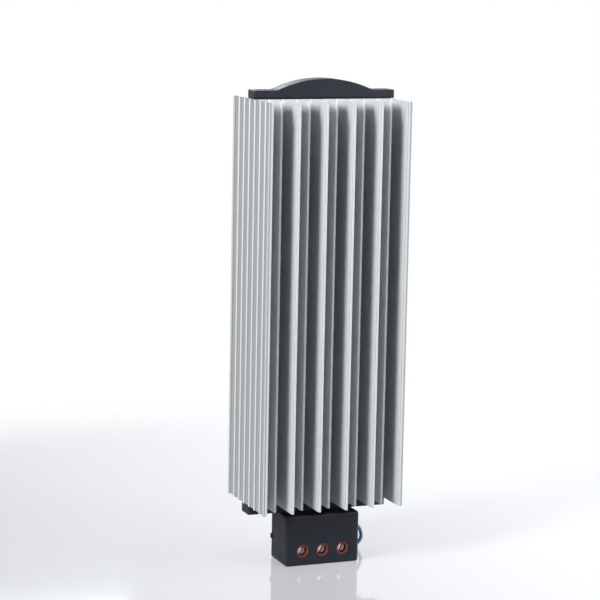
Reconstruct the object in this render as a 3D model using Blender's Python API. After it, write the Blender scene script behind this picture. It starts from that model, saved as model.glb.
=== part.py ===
"""Finned enclosure heater with an extruded body and a screw terminal housing.

An aluminium extrusion carries the heating pack in its flat hollow core. A black
moulded cap closes each end of the core, and a terminal housing hangs under the
lower cap. A folded steel clip on the back grips a 35 mm rail.

Frame: metres, +X to the right, -Y towards the front fins, +Z up. The origin is at
the centre of the bounding box in plan, on the underside of the terminal housing.
"""
import math

import bmesh
import bpy
from mathutils import Matrix, Vector

# Clearances
GAP = 0.0003
LEAD_CLEARANCE = 0.0005

# Heat sink, overall
SINK_WIDTH = 0.0900
SINK_DEPTH = 0.0622
SINK_HEIGHT = 0.2450

# Side plates and their ribs
PLATE_THICKNESS = 0.00145
RIB_HEIGHT = 0.0010
RIB_TIP_WIDTH = 0.0010
RIB_FOOT_WIDTH = 0.0017
EDGE_RIB_WIDTH = 0.0013
INNER_RIBS = 6
RIB_PITCH = 0.00894
RIB_SHIFT = 0.0010
RIB_SHOULDER = 0.8

# Fins
LONG_FINS = 6
FIN_TIP = 0.00145
FIN_ROOT = 0.0019
FIN_DEPTH = 0.0258
SHORT_FIN_SETBACK = 0.0074
FIN_GROOVE_DEPTH = 0.00022
FIN_GROOVE_WIDTH = 0.0006
FIN_GROOVE_INSET = 0.0015
FIN_TIP_ROUND = 0.00028
ROOT_FILLET = 0.0010
REAR_FINS_PER_SIDE = 2
REAR_FIN_SETBACK = 0.0022

# Hollow core and its screw ports
CORE_DEPTH = 0.0126
CORE_WALL = 0.0016
CORE_SIDE_WALL = 0.0028
PORT_INSET = 0.0064
PORT_WALL = 0.0015
PORT_SLOT = 0.0016

# Channel for the rail clip on the back
CHANNEL_WIDTH = 0.0262
CHANNEL_WALL = 0.0018
LIP_REACH = 0.0035
LIP_THICKNESS = 0.0015
LEDGE_REACH = 0.0020
LEDGE_THICKNESS = 0.0013

# Caps
CAP_SIDE_INSET = 0.0003
CAP_PLATE = 0.0050
CAP_CORNER = 0.0012
CAP_EDGE = 0.0004
ARCH_SIDE = 0.0145
ARCH_RISE = 0.00675
ARCH_STEPS = 28
ARCH_WALL = 0.0020
SPIGOT_LENGTH = 0.0040
SPIGOT_WALL = 0.0016
SPIGOT_CORNER = 0.0010

# Cap screws
SCREW_SHANK = 0.0032
CAP_SCREW_HEAD = 0.0062
CAP_SCREW_HEAD_HEIGHT = 0.0018
CAP_SCREW_LENGTH = 0.0160
SLOT_WIDTH = 0.0009
SLOT_DEPTH = 0.0010

# Terminal housing
HOUSING_WIDTH = 0.0476
HOUSING_DEPTH = 0.0259
HOUSING_HEIGHT = 0.0315
HOUSING_FORWARD = 0.0098
HOUSING_WALL = 0.0018
HOUSING_ROUND = 0.0015
BACK_LUG_HEIGHT = 0.0030
BACK_LUG_DEPTH = 0.0012
BACK_LUG_PROUD = 0.0006
BACK_LUG_LEVEL = 0.0137
CONDUCTOR_ENTRY = 0.0044

# Terminals
POLES = 3
POLE_SHARE = 0.27311
POLE_LEVEL = 0.0092
COLLAR_DIAMETER = 0.0076
COLLAR_BORE = 0.0061
HEAD_RECESS = 0.0026
TERMINAL_HEAD = 0.0055
TERMINAL_HEAD_HEIGHT = 0.0019
TERMINAL_SHANK = 0.0030
TERMINAL_SCREW_LENGTH = 0.0074
SLOT_LEAN = 25.0
INSULATOR_FACE = 0.0040
INSULATOR_WALL = 0.0016
INSULATOR_HEIGHT = 0.0150
CAGE_WIDTH = 0.0082
CAGE_DEPTH = 0.0084
CAGE_HEIGHT = 0.0110
CAGE_WALL = 0.0012

# Housing screws
HOUSING_SCREW_SPACING = 0.0080
HOUSING_SCREW_LENGTH = 0.0090

# Heating pack
SEAL_LENGTH = 0.0050
SLEEVE_WALL = 0.0006
ELECTRODE = 0.0018
ELECTRODE_TAB = 0.0060
ELECTRODE_TAB_LENGTH = 0.0030
STONE_HEIGHT = 0.0270
STONE_ROWS = 4
STONE_PITCH = 0.0500
FRAME_BAR = 0.0020
FRAME_SIDE_BAR = 0.0064

# Leads
LEAD_DIAMETER = 0.0023
LEAD_SIDE = 0.0068
LEAD_SPACING = 0.0070
LEAD_PORT_LEVEL = 0.0240
LEAD_BEVEL_RESOLUTION = 3
LEAD_POINT_SPACING = 0.0026
LEAD_STRAIGHT = 0.0008

# Earth strip
STRIP_WIDTH = 0.0060
STRIP_THICKNESS = 0.0008
STRIP_RISE = 0.0140
STRIP_BEND = 0.0016
EARTH_SCREW_RISE = 0.0080
EARTH_SCREW_HEAD = 0.0056
EARTH_SCREW_HEAD_HEIGHT = 0.0020

# Rail clip
CLIP_STAND_OUT = 0.0128
CLIP_WIDTH = 0.0260
CLIP_SHEET = 0.0015
CLIP_CENTRE_RISE = 0.1350
CLIP_OVERHANG = 0.0055
CLIP_NOSE = 0.0028
CLIP_RELIEF = 0.0004
RAIL_HEIGHT = 0.0350
RAIL_FLANGE = 0.0010
SLIDER_HEIGHT = 0.0400
CLIP_SCREW_SPACING = 0.0200
CLIP_SCREW_SHANK = 0.0036
CLIP_SCREW_HEAD = 0.0068
CLIP_SCREW_HEAD_HEIGHT = 0.0022
CLIP_SCREW_LENGTH = 0.0046
SPRING_SHEET = 0.0010
SPRING_WIDTH = 0.0160
SPRING_BEND = 0.0022
SPRING_DROP = 0.0070
SPRING_NOSE = 0.0022
DRIVER_SLOT_WIDTH = 0.0065
DRIVER_SLOT_DEPTH = 0.0030

# Facets of round pieces, and how near to upright a face counts as upright
ROUND_STEPS = 24
FINE_STEPS = 32
LEVEL_TOLERANCE = 0.01

# Levels along Z
Z_HOUSING = 0.0
Z_HOUSING_TOP = Z_HOUSING + HOUSING_HEIGHT
Z_LOWER_CAP = Z_HOUSING_TOP + GAP
Z_LOWER_CAP_TOP = Z_LOWER_CAP + CAP_PLATE
Z_SINK = Z_LOWER_CAP_TOP + GAP
Z_SINK_TOP = Z_SINK + SINK_HEIGHT
Z_UPPER_CAP = Z_SINK_TOP + GAP
Z_UPPER_CAP_TOP = Z_UPPER_CAP + CAP_PLATE
Z_CLIP = Z_SINK + CLIP_CENTRE_RISE

# Planes along Y
OVERALL_DEPTH = SINK_DEPTH + CLIP_STAND_OUT
Y_FRONT = -OVERALL_DEPTH / 2
Y_BACK = Y_FRONT + SINK_DEPTH
Y_REAR = Y_BACK + CLIP_STAND_OUT
Y_CORE = Y_FRONT + FIN_DEPTH
Y_CORE_BACK = Y_CORE + CORE_DEPTH
Y_CORE_MID = Y_CORE + CORE_DEPTH / 2
Y_HOUSING = Y_CORE - HOUSING_FORWARD
Y_HOUSING_BACK = Y_HOUSING + HOUSING_DEPTH

# Values shared by pieces that fit each other
HALF_WIDTH = SINK_WIDTH / 2
PLATE_OUTER = HALF_WIDTH - RIB_HEIGHT
PLATE_INNER = PLATE_OUTER - PLATE_THICKNESS
FIN_PITCH = 2 * (PLATE_OUTER - PLATE_THICKNESS / 2) / (LONG_FINS - 1)
ARCH_CHORD = SINK_WIDTH - 2 * ARCH_SIDE
PORT_X = HALF_WIDTH - PORT_INSET
PORT_RADIUS = SCREW_SHANK / 2 + GAP
PORT_OUTER = PORT_RADIUS + PORT_WALL
CAVITY_HALF = PLATE_OUTER - CORE_SIDE_WALL
CAVITY_DEPTH = CORE_DEPTH - 2 * CORE_WALL
PACK_HALF = PORT_X - PORT_OUTER - GAP
PACK_INNER = PACK_HALF - SLEEVE_WALL
FRAME_HALF = PACK_INNER - GAP
STONE_WINDOW = FRAME_HALF - FRAME_SIDE_BAR - FRAME_BAR / 2
STONE_WIDTH = STONE_WINDOW - 2 * GAP
SLOT_HEIGHT = CLIP_SHEET + 2 * GAP
POLE_PITCH = HOUSING_WIDTH * POLE_SHARE
CAGE_BAY = CAGE_WIDTH + 2 * GAP
LEAD_OFFSET = HOUSING_WIDTH / 2 - LEAD_SIDE
LEAD_RETURN_OFFSET = LEAD_OFFSET - LEAD_SPACING
HOUSING_SCREW_OFFSET = LEAD_OFFSET - HOUSING_SCREW_SPACING
POLE_Y = Y_HOUSING + HOUSING_WALL + GAP + INSULATOR_FACE + GAP + CAGE_DEPTH / 2
SEAT_GAP = RAIL_FLANGE + 2 * GAP
PACK_LOW = Z_SINK + SPIGOT_LENGTH + GAP + SEAL_LENGTH + GAP
PACK_HIGH = Z_SINK_TOP - SPIGOT_LENGTH - GAP - SEAL_LENGTH - GAP


def clear_scene():
    """Remove whatever the open file holds."""
    for item in list(bpy.data.objects):
        bpy.data.objects.remove(item, do_unlink=True)


def material(name, colour, roughness, metallic=0.0):
    """Return a Principled material, made once for each name."""
    found = bpy.data.materials.get(name)
    if found:
        return found
    made = bpy.data.materials.new(name)
    made.use_nodes = True
    shader = made.node_tree.nodes["Principled BSDF"]
    shader.inputs["Base Color"].default_value = (*colour, 1.0)
    shader.inputs["Roughness"].default_value = roughness
    shader.inputs["Metallic"].default_value = metallic
    made.diffuse_color = (*colour, 1.0)
    return made


def add_object(name, shape, finish):
    """Turn a bmesh into a named object with outward faces and one material."""
    bmesh.ops.recalc_face_normals(shape, faces=shape.faces[:])
    mesh = bpy.data.meshes.new(name)
    shape.to_mesh(mesh)
    shape.free()
    mesh.materials.append(finish)
    made = bpy.data.objects.new(name, mesh)
    bpy.context.scene.collection.objects.link(made)
    return made


def place(axis, u, v, w):
    """Map outline coordinates and a height to a point, for a prism along an axis."""
    if axis == "X":
        return (w, u, v)
    if axis == "Y":
        return (u, w, v)
    return (u, v, w)


def prism(outline, low, high, axis="Z", holes=()):
    """Extrude a closed outline, with any holes, from low to high along an axis."""
    shape = bmesh.new()
    edges = []
    for loop in (outline, *holes):
        corners = [shape.verts.new(place(axis, u, v, low)) for u, v in loop]
        for first, second in zip(corners, corners[1:] + corners[:1]):
            edges.append(shape.edges.new((first, second)))
    if holes:
        bmesh.ops.triangle_fill(shape, use_beauty=True, use_dissolve=False, edges=edges)
    else:
        shape.faces.new(shape.verts[:])
    grown = bmesh.ops.extrude_face_region(shape, geom=shape.faces[:])
    moved = [item for item in grown["geom"] if isinstance(item, bmesh.types.BMVert)]
    bmesh.ops.translate(shape, verts=moved, vec=place(axis, 0.0, 0.0, high - low))
    return shape


def box(low, high):
    """Return a box between two corners."""
    outline = rectangle(low[0], high[0], low[1], high[1])
    return prism(outline, low[2], high[2])


def rectangle(left, right, front, back):
    """Return the four corners of a rectangle."""
    return [(left, front), (right, front), (right, back), (left, back)]


def arc(centre, radius, start, end, steps):
    """Return points on an arc between two angles in degrees, ends included."""
    points = []
    for step in range(steps + 1):
        angle = math.radians(start + (end - start) * step / steps)
        points.append((centre[0] + radius * math.cos(angle),
                       centre[1] + radius * math.sin(angle)))
    return points


def round_rectangle(left, right, front, back, radius, steps=4):
    """Return a rectangle with round corners."""
    corners = (
        ((right - radius, back - radius), 0),
        ((left + radius, back - radius), 90),
        ((left + radius, front + radius), 180),
        ((right - radius, front + radius), 270),
    )
    points = []
    for centre, start in corners:
        points += arc(centre, radius, start, start + 90, steps)
    return points


def turned(profile, centre, direction, steps=ROUND_STEPS):
    """Spin a profile of (radius, height) pairs about an axis through centre."""
    shape = bmesh.new()
    ring = [shape.verts.new((radius, 0.0, height)) for radius, height in profile]
    edges = [shape.edges.new(pair) for pair in zip(ring, ring[1:])]
    bmesh.ops.spin(shape, geom=ring + edges, cent=(0, 0, 0), axis=(0, 0, 1),
                   angle=math.tau, steps=steps, use_merge=True)
    bmesh.ops.remove_doubles(shape, verts=shape.verts[:], dist=1e-6)
    turn = Vector((0, 0, 1)).rotation_difference(Vector(direction)).to_matrix().to_4x4()
    bmesh.ops.transform(shape, matrix=Matrix.Translation(centre) @ turn, verts=shape.verts[:])
    return shape


def cylinder(centre, direction, radius, low, high, steps=ROUND_STEPS):
    """Return a cylinder from low to high along a direction through centre."""
    return turned([(0, low), (radius, low), (radius, high), (0, high)], centre, direction, steps)


def combine(target, shape, operation):
    """Join a shape to an object, or cut it from the object, with an exact Boolean."""
    name = f"{target.name}_{operation.lower()}_{len(target.modifiers)}"
    tool = add_object(name, shape, target.data.materials[0])
    tool.hide_render = True
    tool.display_type = "WIRE"
    change = target.modifiers.new(name, "BOOLEAN")
    change.operation = operation
    change.solver = "EXACT"
    change.object = tool


def cut(target, shape):
    """Cut a shape from an object."""
    combine(target, shape, "DIFFERENCE")


def join(target, shape):
    """Join a shape to an object."""
    combine(target, shape, "UNION")


def round_edges(shape, width, segments, test):
    """Bevel the edges of a bmesh that pass a test."""
    chosen = [edge for edge in shape.edges if test(edge)]
    bmesh.ops.bevel(shape, geom=chosen, offset=width, offset_type="OFFSET",
                    segments=segments, profile=0.5, affect="EDGES", clamp_overlap=True)


def shade_round(made, angle=35.0):
    """Shade an object smooth, apart from its sharp edges."""
    made.data.shade_smooth()
    made.data.set_sharp_from_angle(angle=math.radians(angle))


def folded_strip(centre_line, thickness, bend, steps=4):
    """Return the outline of a sheet folded along a centre line with round bends."""
    path = [Vector(centre_line[0])]
    for before, corner, after in zip(centre_line, centre_line[1:], centre_line[2:]):
        corner = Vector(corner)
        way_in = (corner - Vector(before)).normalized()
        way_out = (Vector(after) - corner).normalized()
        turn = way_in.angle(way_out)
        setback = bend * math.tan(turn / 2)
        start = corner - way_in * setback
        side = 1.0 if way_in.cross(way_out) > 0 else -1.0
        centre = start + Vector((-way_in.y, way_in.x)) * side * bend
        for step in range(steps + 1):
            angle = side * turn * step / steps
            path.append(centre + Matrix.Rotation(angle, 2) @ (start - centre))
    path.append(Vector(centre_line[-1]))
    left, right = [], []
    for index, point in enumerate(path):
        before = path[max(index - 1, 0)]
        after = path[min(index + 1, len(path) - 1)]
        along = (after - before).normalized()
        normal = Vector((-along.y, along.x)) * thickness / 2
        left.append(tuple(point + normal))
        right.append(tuple(point - normal))
    return left + right[::-1]


def fin_half(length, grooved):
    """Return one side of a fin as (offset, distance from root), tip to root."""
    lean = (FIN_ROOT - FIN_TIP) / 2
    tip = FIN_TIP / 2

    def offset(distance):
        """Half thickness of the fin at a distance from its root."""
        return tip + lean * (1 - distance / length)

    side = [(tip - FIN_TIP_ROUND, length), (tip, length - FIN_TIP_ROUND)]
    if grooved:
        middle = length - FIN_GROOVE_INSET
        half = FIN_GROOVE_WIDTH / 2
        side.append((offset(middle + half), middle + half))
        side.append((offset(middle) - FIN_GROOVE_DEPTH, middle))
        side.append((offset(middle - half), middle - half))
    root = offset(0) + ROOT_FILLET
    side += arc((root, ROOT_FILLET), ROOT_FILLET, 180, 270, 3)
    return side


def fin_points(length, grooved=True):
    """Return a whole fin, from its root before to its root after."""
    after = fin_half(length, grooved)
    before = [(-offset, distance) for offset, distance in reversed(after)]
    return before + after


def rib_points(centre):
    """Return one low rib on a side plate as (along, height) pairs."""
    foot = RIB_FOOT_WIDTH / 2
    tip = RIB_TIP_WIDTH / 2
    shoulder = RIB_HEIGHT * RIB_SHOULDER
    return [(centre - foot, 0), (centre - tip, shoulder), (centre - tip / 2, RIB_HEIGHT),
            (centre + tip / 2, RIB_HEIGHT), (centre + tip, shoulder), (centre + foot, 0)]


def plate_points():
    """Return the outer side of the right plate, front to back, as (y, x) pairs."""
    slope = (RIB_FOOT_WIDTH - RIB_TIP_WIDTH) / 2
    points = [(0, RIB_HEIGHT), (EDGE_RIB_WIDTH, RIB_HEIGHT), (EDGE_RIB_WIDTH + slope, 0)]
    first = (SINK_DEPTH - (INNER_RIBS - 1) * RIB_PITCH) / 2 - RIB_SHIFT
    for index in range(INNER_RIBS):
        points += rib_points(first + index * RIB_PITCH)
    points += [(SINK_DEPTH - EDGE_RIB_WIDTH - slope, 0), (SINK_DEPTH - EDGE_RIB_WIDTH, RIB_HEIGHT),
               (SINK_DEPTH, RIB_HEIGHT)]
    return points


def plate_inner(length):
    """Return the inner side of a plate, tip to root, as (inset, distance) pairs."""
    middle = length - FIN_GROOVE_INSET
    half = FIN_GROOVE_WIDTH / 2
    side = [(0, length), (0, middle + half), (-FIN_GROOVE_DEPTH, middle), (0, middle - half)]
    side += arc((ROOT_FILLET, ROOT_FILLET), ROOT_FILLET, 180, 270, 3)
    return side


def channel_points():
    """Return the right wall of the clip channel, outside to inside, as (x, y) pairs."""
    inner = CHANNEL_WIDTH / 2
    outer = inner + CHANNEL_WALL
    slot_top = Y_BACK - LIP_THICKNESS
    slot_floor = slot_top - SLOT_HEIGHT
    ledge_floor = slot_floor - LEDGE_THICKNESS
    points = [(outer + ROOT_FILLET + u, Y_CORE_BACK + ROOT_FILLET + v)
              for u, v in arc((0, 0), ROOT_FILLET, 270, 180, 3)]
    points += [(outer, Y_BACK), (inner - LIP_REACH, Y_BACK), (inner - LIP_REACH, slot_top),
               (inner, slot_top), (inner, slot_floor), (inner - LEDGE_REACH, slot_floor),
               (inner - LEDGE_REACH, ledge_floor), (inner, ledge_floor)]
    points += [(inner - ROOT_FILLET + u, Y_CORE_BACK + ROOT_FILLET + v)
               for u, v in arc((0, 0), ROOT_FILLET, 0, -90, 3)]
    return points


def half_section():
    """Return the right half of the section's outline, front middle to back middle."""
    points = []
    short = FIN_DEPTH - SHORT_FIN_SETBACK
    middle_fin = fin_half(short, True)
    points += [(u, Y_CORE - v) for u, v in middle_fin]
    for index in range(1, LONG_FINS - 1):
        length = FIN_DEPTH if index % 2 else short
        centre = index * FIN_PITCH / 2
        points += [(centre + u, Y_CORE - v) for u, v in fin_points(length)]
    points += [(PLATE_INNER - inset, Y_CORE - v) for inset, v in reversed(plate_inner(FIN_DEPTH))]
    points += [(PLATE_OUTER + x, Y_FRONT + y) for y, x in plate_points()]
    rear = Y_BACK - Y_CORE_BACK
    points += [(PLATE_INNER - inset, Y_CORE_BACK + v) for inset, v in plate_inner(rear)]
    wall = CHANNEL_WIDTH / 2 + CHANNEL_WALL
    spacing = (PLATE_INNER - wall) / (REAR_FINS_PER_SIDE + 1)
    for index in range(REAR_FINS_PER_SIDE, 0, -1):
        centre = wall + index * spacing
        fin = fin_points(rear - REAR_FIN_SETBACK)
        points += [(centre - u, Y_CORE_BACK + v) for u, v in fin]
    points += channel_points()
    return points


def cavity_outline():
    """Return the hollow of the core, with an open screw port at each end."""
    half_slot = PORT_SLOT / 2
    outer_angle = math.degrees(math.asin(half_slot / PORT_OUTER))
    inner_angle = math.degrees(math.asin(half_slot / PORT_RADIUS))
    front = Y_CORE_MID - CAVITY_DEPTH / 2
    back = Y_CORE_MID + CAVITY_DEPTH / 2
    centre = (PORT_X, Y_CORE_MID)
    right = [(CAVITY_HALF, front), (CAVITY_HALF, Y_CORE_MID - PORT_OUTER)]
    right += arc(centre, PORT_OUTER, 270, 180 + outer_angle, 6)
    right += arc(centre, PORT_RADIUS, 180 + inner_angle, 540 - inner_angle, 18)
    right += arc(centre, PORT_OUTER, 180 - outer_angle, 90, 6)
    right += [(CAVITY_HALF, Y_CORE_MID + PORT_OUTER), (CAVITY_HALF, back)]
    left = [(-x, y) for x, y in reversed(right)]
    return right + left


def make_heat_sink():
    """Extrude the finned body along its whole height."""
    right = half_section()
    left = [(-x, y) for x, y in reversed(right)]
    shape = prism(right + left, Z_SINK, Z_SINK_TOP, holes=[cavity_outline()])
    finish = material("anodised_aluminium", (0.72, 0.73, 0.74), 0.38, 1.0)
    sink = add_object("heat_sink", shape, finish)
    hole = cylinder((0, Y_CORE_BACK - CORE_WALL, Z_SINK + EARTH_SCREW_RISE), (0, 1, 0),
                    SCREW_SHANK / 2 + GAP, -GAP, CORE_WALL + GAP)
    cut(sink, hole)


def black_plastic():
    """Return the black moulding material."""
    return material("black_moulding", (0.030, 0.032, 0.036), 0.42)


def spigot(low, high):
    """Return the block of a cap or seal that fills the middle of the core."""
    half_depth = CAVITY_DEPTH / 2 - GAP
    outline = round_rectangle(-PACK_HALF, PACK_HALF, Y_CORE_MID - half_depth,
                              Y_CORE_MID + half_depth, SPIGOT_CORNER)
    return prism(outline, low, high)


def arch_outline(chord, rise, base):
    """Return points along a shallow arch, right to left, over a chord at a height."""
    radius = (chord ** 2 / 4 + rise ** 2) / (2 * rise)
    reach = math.degrees(math.asin(chord / 2 / radius))
    centre = (0, base + rise - radius)
    return arc(centre, radius, 90 - reach, 90 + reach, ARCH_STEPS)


def countersink(cap, level, facing):
    """Cut a countersunk hole at each screw port, from the cap's outer face at a level."""
    shank = SCREW_SHANK / 2 + GAP
    head = CAP_SCREW_HEAD / 2 + GAP
    profile = [(0, -CAP_PLATE - GAP), (shank, -CAP_PLATE - GAP),
               (shank, -CAP_SCREW_HEAD_HEIGHT - GAP), (head, -GAP), (head, GAP), (0, GAP)]
    for side in (-1, 1):
        cut(cap, turned(profile, (side * PORT_X, Y_CORE_MID, level), (0, 0, facing)))


def make_top_cap():
    """Mould the upper cap: a plate, a shallow arch on it and a spigot below."""
    half = HALF_WIDTH - CAP_SIDE_INSET
    outline = [(-half, Z_UPPER_CAP), (half, Z_UPPER_CAP), (half, Z_UPPER_CAP_TOP)]
    outline += arch_outline(ARCH_CHORD, ARCH_RISE, Z_UPPER_CAP_TOP)
    outline += [(-half, Z_UPPER_CAP_TOP)]
    shape = prism(outline, Y_CORE, Y_CORE_BACK, axis="Y")

    def upright(edge):
        """Pick the four upright corner edges."""
        ends = [vert.co for vert in edge.verts]
        return all(abs(abs(end.x) - half) < 1e-6 for end in ends) and abs(ends[0].y - ends[1].y) < 1e-6

    round_edges(shape, CAP_CORNER, 4, upright)

    def top_rim(edge):
        """Pick the long edges round the top of the plate and the arch."""
        faces = edge.link_faces
        if len(faces) != 2 or min(vert.co.z for vert in edge.verts) < Z_UPPER_CAP_TOP - 1e-6:
            return False
        return min(abs(face.normal.z) for face in faces) < LEVEL_TOLERANCE

    shape.normal_update()
    round_edges(shape, CAP_EDGE, 2, top_rim)
    cap = add_object("top_cap", shape, black_plastic())
    join(cap, spigot(Z_SINK_TOP - SPIGOT_LENGTH, Z_UPPER_CAP + CAP_EDGE))
    pocket_chord = ARCH_CHORD - 2 * ARCH_WALL
    hollow = [(-pocket_chord / 2, Z_SINK_TOP - SPIGOT_LENGTH - GAP),
              (pocket_chord / 2, Z_SINK_TOP - SPIGOT_LENGTH - GAP)]
    hollow += arch_outline(pocket_chord, ARCH_RISE, Z_UPPER_CAP_TOP - ARCH_WALL)
    inner = CAVITY_DEPTH / 2 - GAP - SPIGOT_WALL
    cut(cap, prism(hollow, Y_CORE_MID - inner, Y_CORE_MID + inner, axis="Y"))
    countersink(cap, Z_UPPER_CAP_TOP, 1)
    shade_round(cap)


def make_bottom_cap():
    """Mould the lower cap, with its spigot and the ways through for leads and screws."""
    half = HALF_WIDTH - CAP_SIDE_INSET
    outline = round_rectangle(-half, half, Y_CORE, Y_CORE_BACK, CAP_CORNER)
    cap = add_object("bottom_cap", prism(outline, Z_LOWER_CAP, Z_LOWER_CAP_TOP), black_plastic())
    join(cap, spigot(Z_LOWER_CAP_TOP - CAP_EDGE, Z_SINK + SPIGOT_LENGTH))
    low = Z_LOWER_CAP - GAP
    high = Z_SINK + SPIGOT_LENGTH + GAP
    for side in (-1, 1):
        for offset, radius in ((LEAD_OFFSET, LEAD_DIAMETER / 2 + LEAD_CLEARANCE),
                               (HOUSING_SCREW_OFFSET, SCREW_SHANK / 2 + GAP)):
            cut(cap, cylinder((side * offset, Y_CORE_MID, 0), (0, 0, 1), radius, low, high))
    countersink(cap, Z_LOWER_CAP, -1)
    shade_round(cap)


def make_seals():
    """Mould the silicone plugs that close the pack in the core."""
    finish = material("silicone", (0.55, 0.16, 0.10), 0.6)
    upper = Z_SINK_TOP - SPIGOT_LENGTH - GAP
    add_object("top_seal", spigot(upper - SEAL_LENGTH, upper), finish)
    lower = Z_SINK + SPIGOT_LENGTH + GAP
    seal = add_object("bottom_seal", spigot(lower, lower + SEAL_LENGTH), finish)
    radius = LEAD_DIAMETER / 2 + LEAD_CLEARANCE
    for side in (-1, 1):
        cut(seal, cylinder((side * LEAD_OFFSET, Y_CORE_MID, 0), (0, 0, 1), radius,
                           lower - GAP, lower + SEAL_LENGTH + GAP))


def pan_head_screw(name, seat, direction, shank, length, head, head_height, finish, lean=0.0):
    """Make a slotted screw whose head sits on seat and whose shank runs on past it."""
    radius = head / 2
    crown = min(radius, head_height) * 0.3
    profile = [(0, head_height), (radius - crown, head_height), (radius, head_height - crown),
               (radius, 0), (shank / 2, 0), (shank / 2, -length), (0, -length)]
    screw = add_object(name, turned(profile, seat, direction), finish)
    slot_shape = box((-SLOT_WIDTH / 2, -head, head_height - SLOT_DEPTH),
                     (SLOT_WIDTH / 2, head, head_height + GAP))
    turn = Vector((0, 0, 1)).rotation_difference(Vector(direction)).to_matrix().to_4x4()
    lean_turn = Matrix.Rotation(math.radians(lean), 4, "Z")
    bmesh.ops.transform(slot_shape, matrix=Matrix.Translation(seat) @ turn @ lean_turn,
                        verts=slot_shape.verts[:])
    cut(screw, slot_shape)
    shade_round(screw)


def make_cap_screws():
    """Make the countersunk screws that hold both caps in the ports of the core."""
    steel = material("zinc_steel", (0.62, 0.64, 0.66), 0.3, 1.0)
    shank = SCREW_SHANK / 2
    head = CAP_SCREW_HEAD / 2
    profile = [(0, 0), (head, 0), (shank, -CAP_SCREW_HEAD_HEIGHT), (shank, -CAP_SCREW_LENGTH),
               (0, -CAP_SCREW_LENGTH)]
    for cap, level, facing in (("top", Z_UPPER_CAP_TOP, 1), ("bottom", Z_LOWER_CAP, -1)):
        for side, name in ((-1, "left"), (1, "right")):
            x, y, z = side * PORT_X, Y_CORE_MID, level - facing * GAP
            screw = add_object(f"{cap}_cap_screw_{name}", turned(profile, (x, y, z), (0, 0, facing)),
                               steel)
            low, high = sorted((z - facing * SLOT_DEPTH, z + facing * GAP))
            cut(screw, box((x - SLOT_WIDTH / 2, y - head, low), (x + SLOT_WIDTH / 2, y + head, high)))
            shade_round(screw)


def pole_positions():
    """Return the X of each terminal."""
    return [(index - (POLES - 1) / 2) * POLE_PITCH for index in range(POLES)]


def make_housing():
    """Mould the terminal housing, open at the back for its cover."""
    half = HOUSING_WIDTH / 2
    shape = box((-half, Y_HOUSING, Z_HOUSING), (half, Y_HOUSING_BACK, Z_HOUSING_TOP))
    round_edges(shape, HOUSING_ROUND, 3, lambda edge: True)
    housing = add_object("terminal_housing", shape, black_plastic())
    wall = HOUSING_WALL
    cut(housing, box((-half + wall, Y_HOUSING + wall, Z_HOUSING + wall),
                     (half - wall, Y_HOUSING_BACK + wall, Z_HOUSING_TOP - wall)))
    for x in pole_positions():
        cut(housing, cylinder((x, Y_HOUSING, Z_HOUSING + POLE_LEVEL), (0, 1, 0),
                              COLLAR_DIAMETER / 2 + GAP, -GAP, wall + GAP, FINE_STEPS))
        cut(housing, cylinder((x, POLE_Y, Z_HOUSING), (0, 0, 1), CONDUCTOR_ENTRY / 2,
                              -GAP, wall + GAP))
    top = Z_HOUSING_TOP
    for side in (-1, 1):
        for offset, radius in ((LEAD_OFFSET, LEAD_DIAMETER / 2 + LEAD_CLEARANCE),
                               (HOUSING_SCREW_OFFSET, SCREW_SHANK / 2 + GAP)):
            cut(housing, cylinder((side * offset, Y_CORE_MID, top), (0, 0, 1), radius,
                                  -wall - GAP, GAP))
    strip_y = Y_CORE_BACK + GAP + STRIP_THICKNESS / 2
    reach = STRIP_THICKNESS / 2 + GAP
    cut(housing, box((-STRIP_WIDTH / 2 - GAP, strip_y - reach, top - wall - GAP),
                     (STRIP_WIDTH / 2 + GAP, strip_y + reach, top + GAP)))
    low = Z_HOUSING + BACK_LUG_LEVEL - BACK_LUG_HEIGHT / 2 - GAP
    cover_front = Y_HOUSING_BACK - HOUSING_WALL
    cut(housing, box((-half - GAP, cover_front - GAP, low),
                     (half + GAP, cover_front + BACK_LUG_DEPTH + GAP, low + BACK_LUG_HEIGHT + 2 * GAP)))
    shade_round(housing)


def make_housing_back():
    """Mould the cover in the back of the housing, with its lugs and lead ports."""
    half = HOUSING_WIDTH / 2
    inner = half - HOUSING_WALL - GAP
    front = Y_HOUSING_BACK - HOUSING_WALL
    cover = add_object("housing_back", box(
        (-inner, front, Z_HOUSING + HOUSING_WALL + GAP),
        (inner, Y_HOUSING_BACK - GAP, Z_HOUSING_TOP - HOUSING_WALL - GAP)), black_plastic())
    low = Z_HOUSING + BACK_LUG_LEVEL - BACK_LUG_HEIGHT / 2
    join(cover, box((-half - BACK_LUG_PROUD, front, low),
                    (half + BACK_LUG_PROUD, front + BACK_LUG_DEPTH, low + BACK_LUG_HEIGHT)))
    radius = LEAD_DIAMETER / 2 + LEAD_CLEARANCE
    for x in (-LEAD_OFFSET, -LEAD_RETURN_OFFSET, LEAD_RETURN_OFFSET, LEAD_OFFSET):
        cut(cover, cylinder((x, front, Z_HOUSING + LEAD_PORT_LEVEL), (0, 1, 0), radius,
                            -GAP, HOUSING_WALL + GAP))


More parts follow.
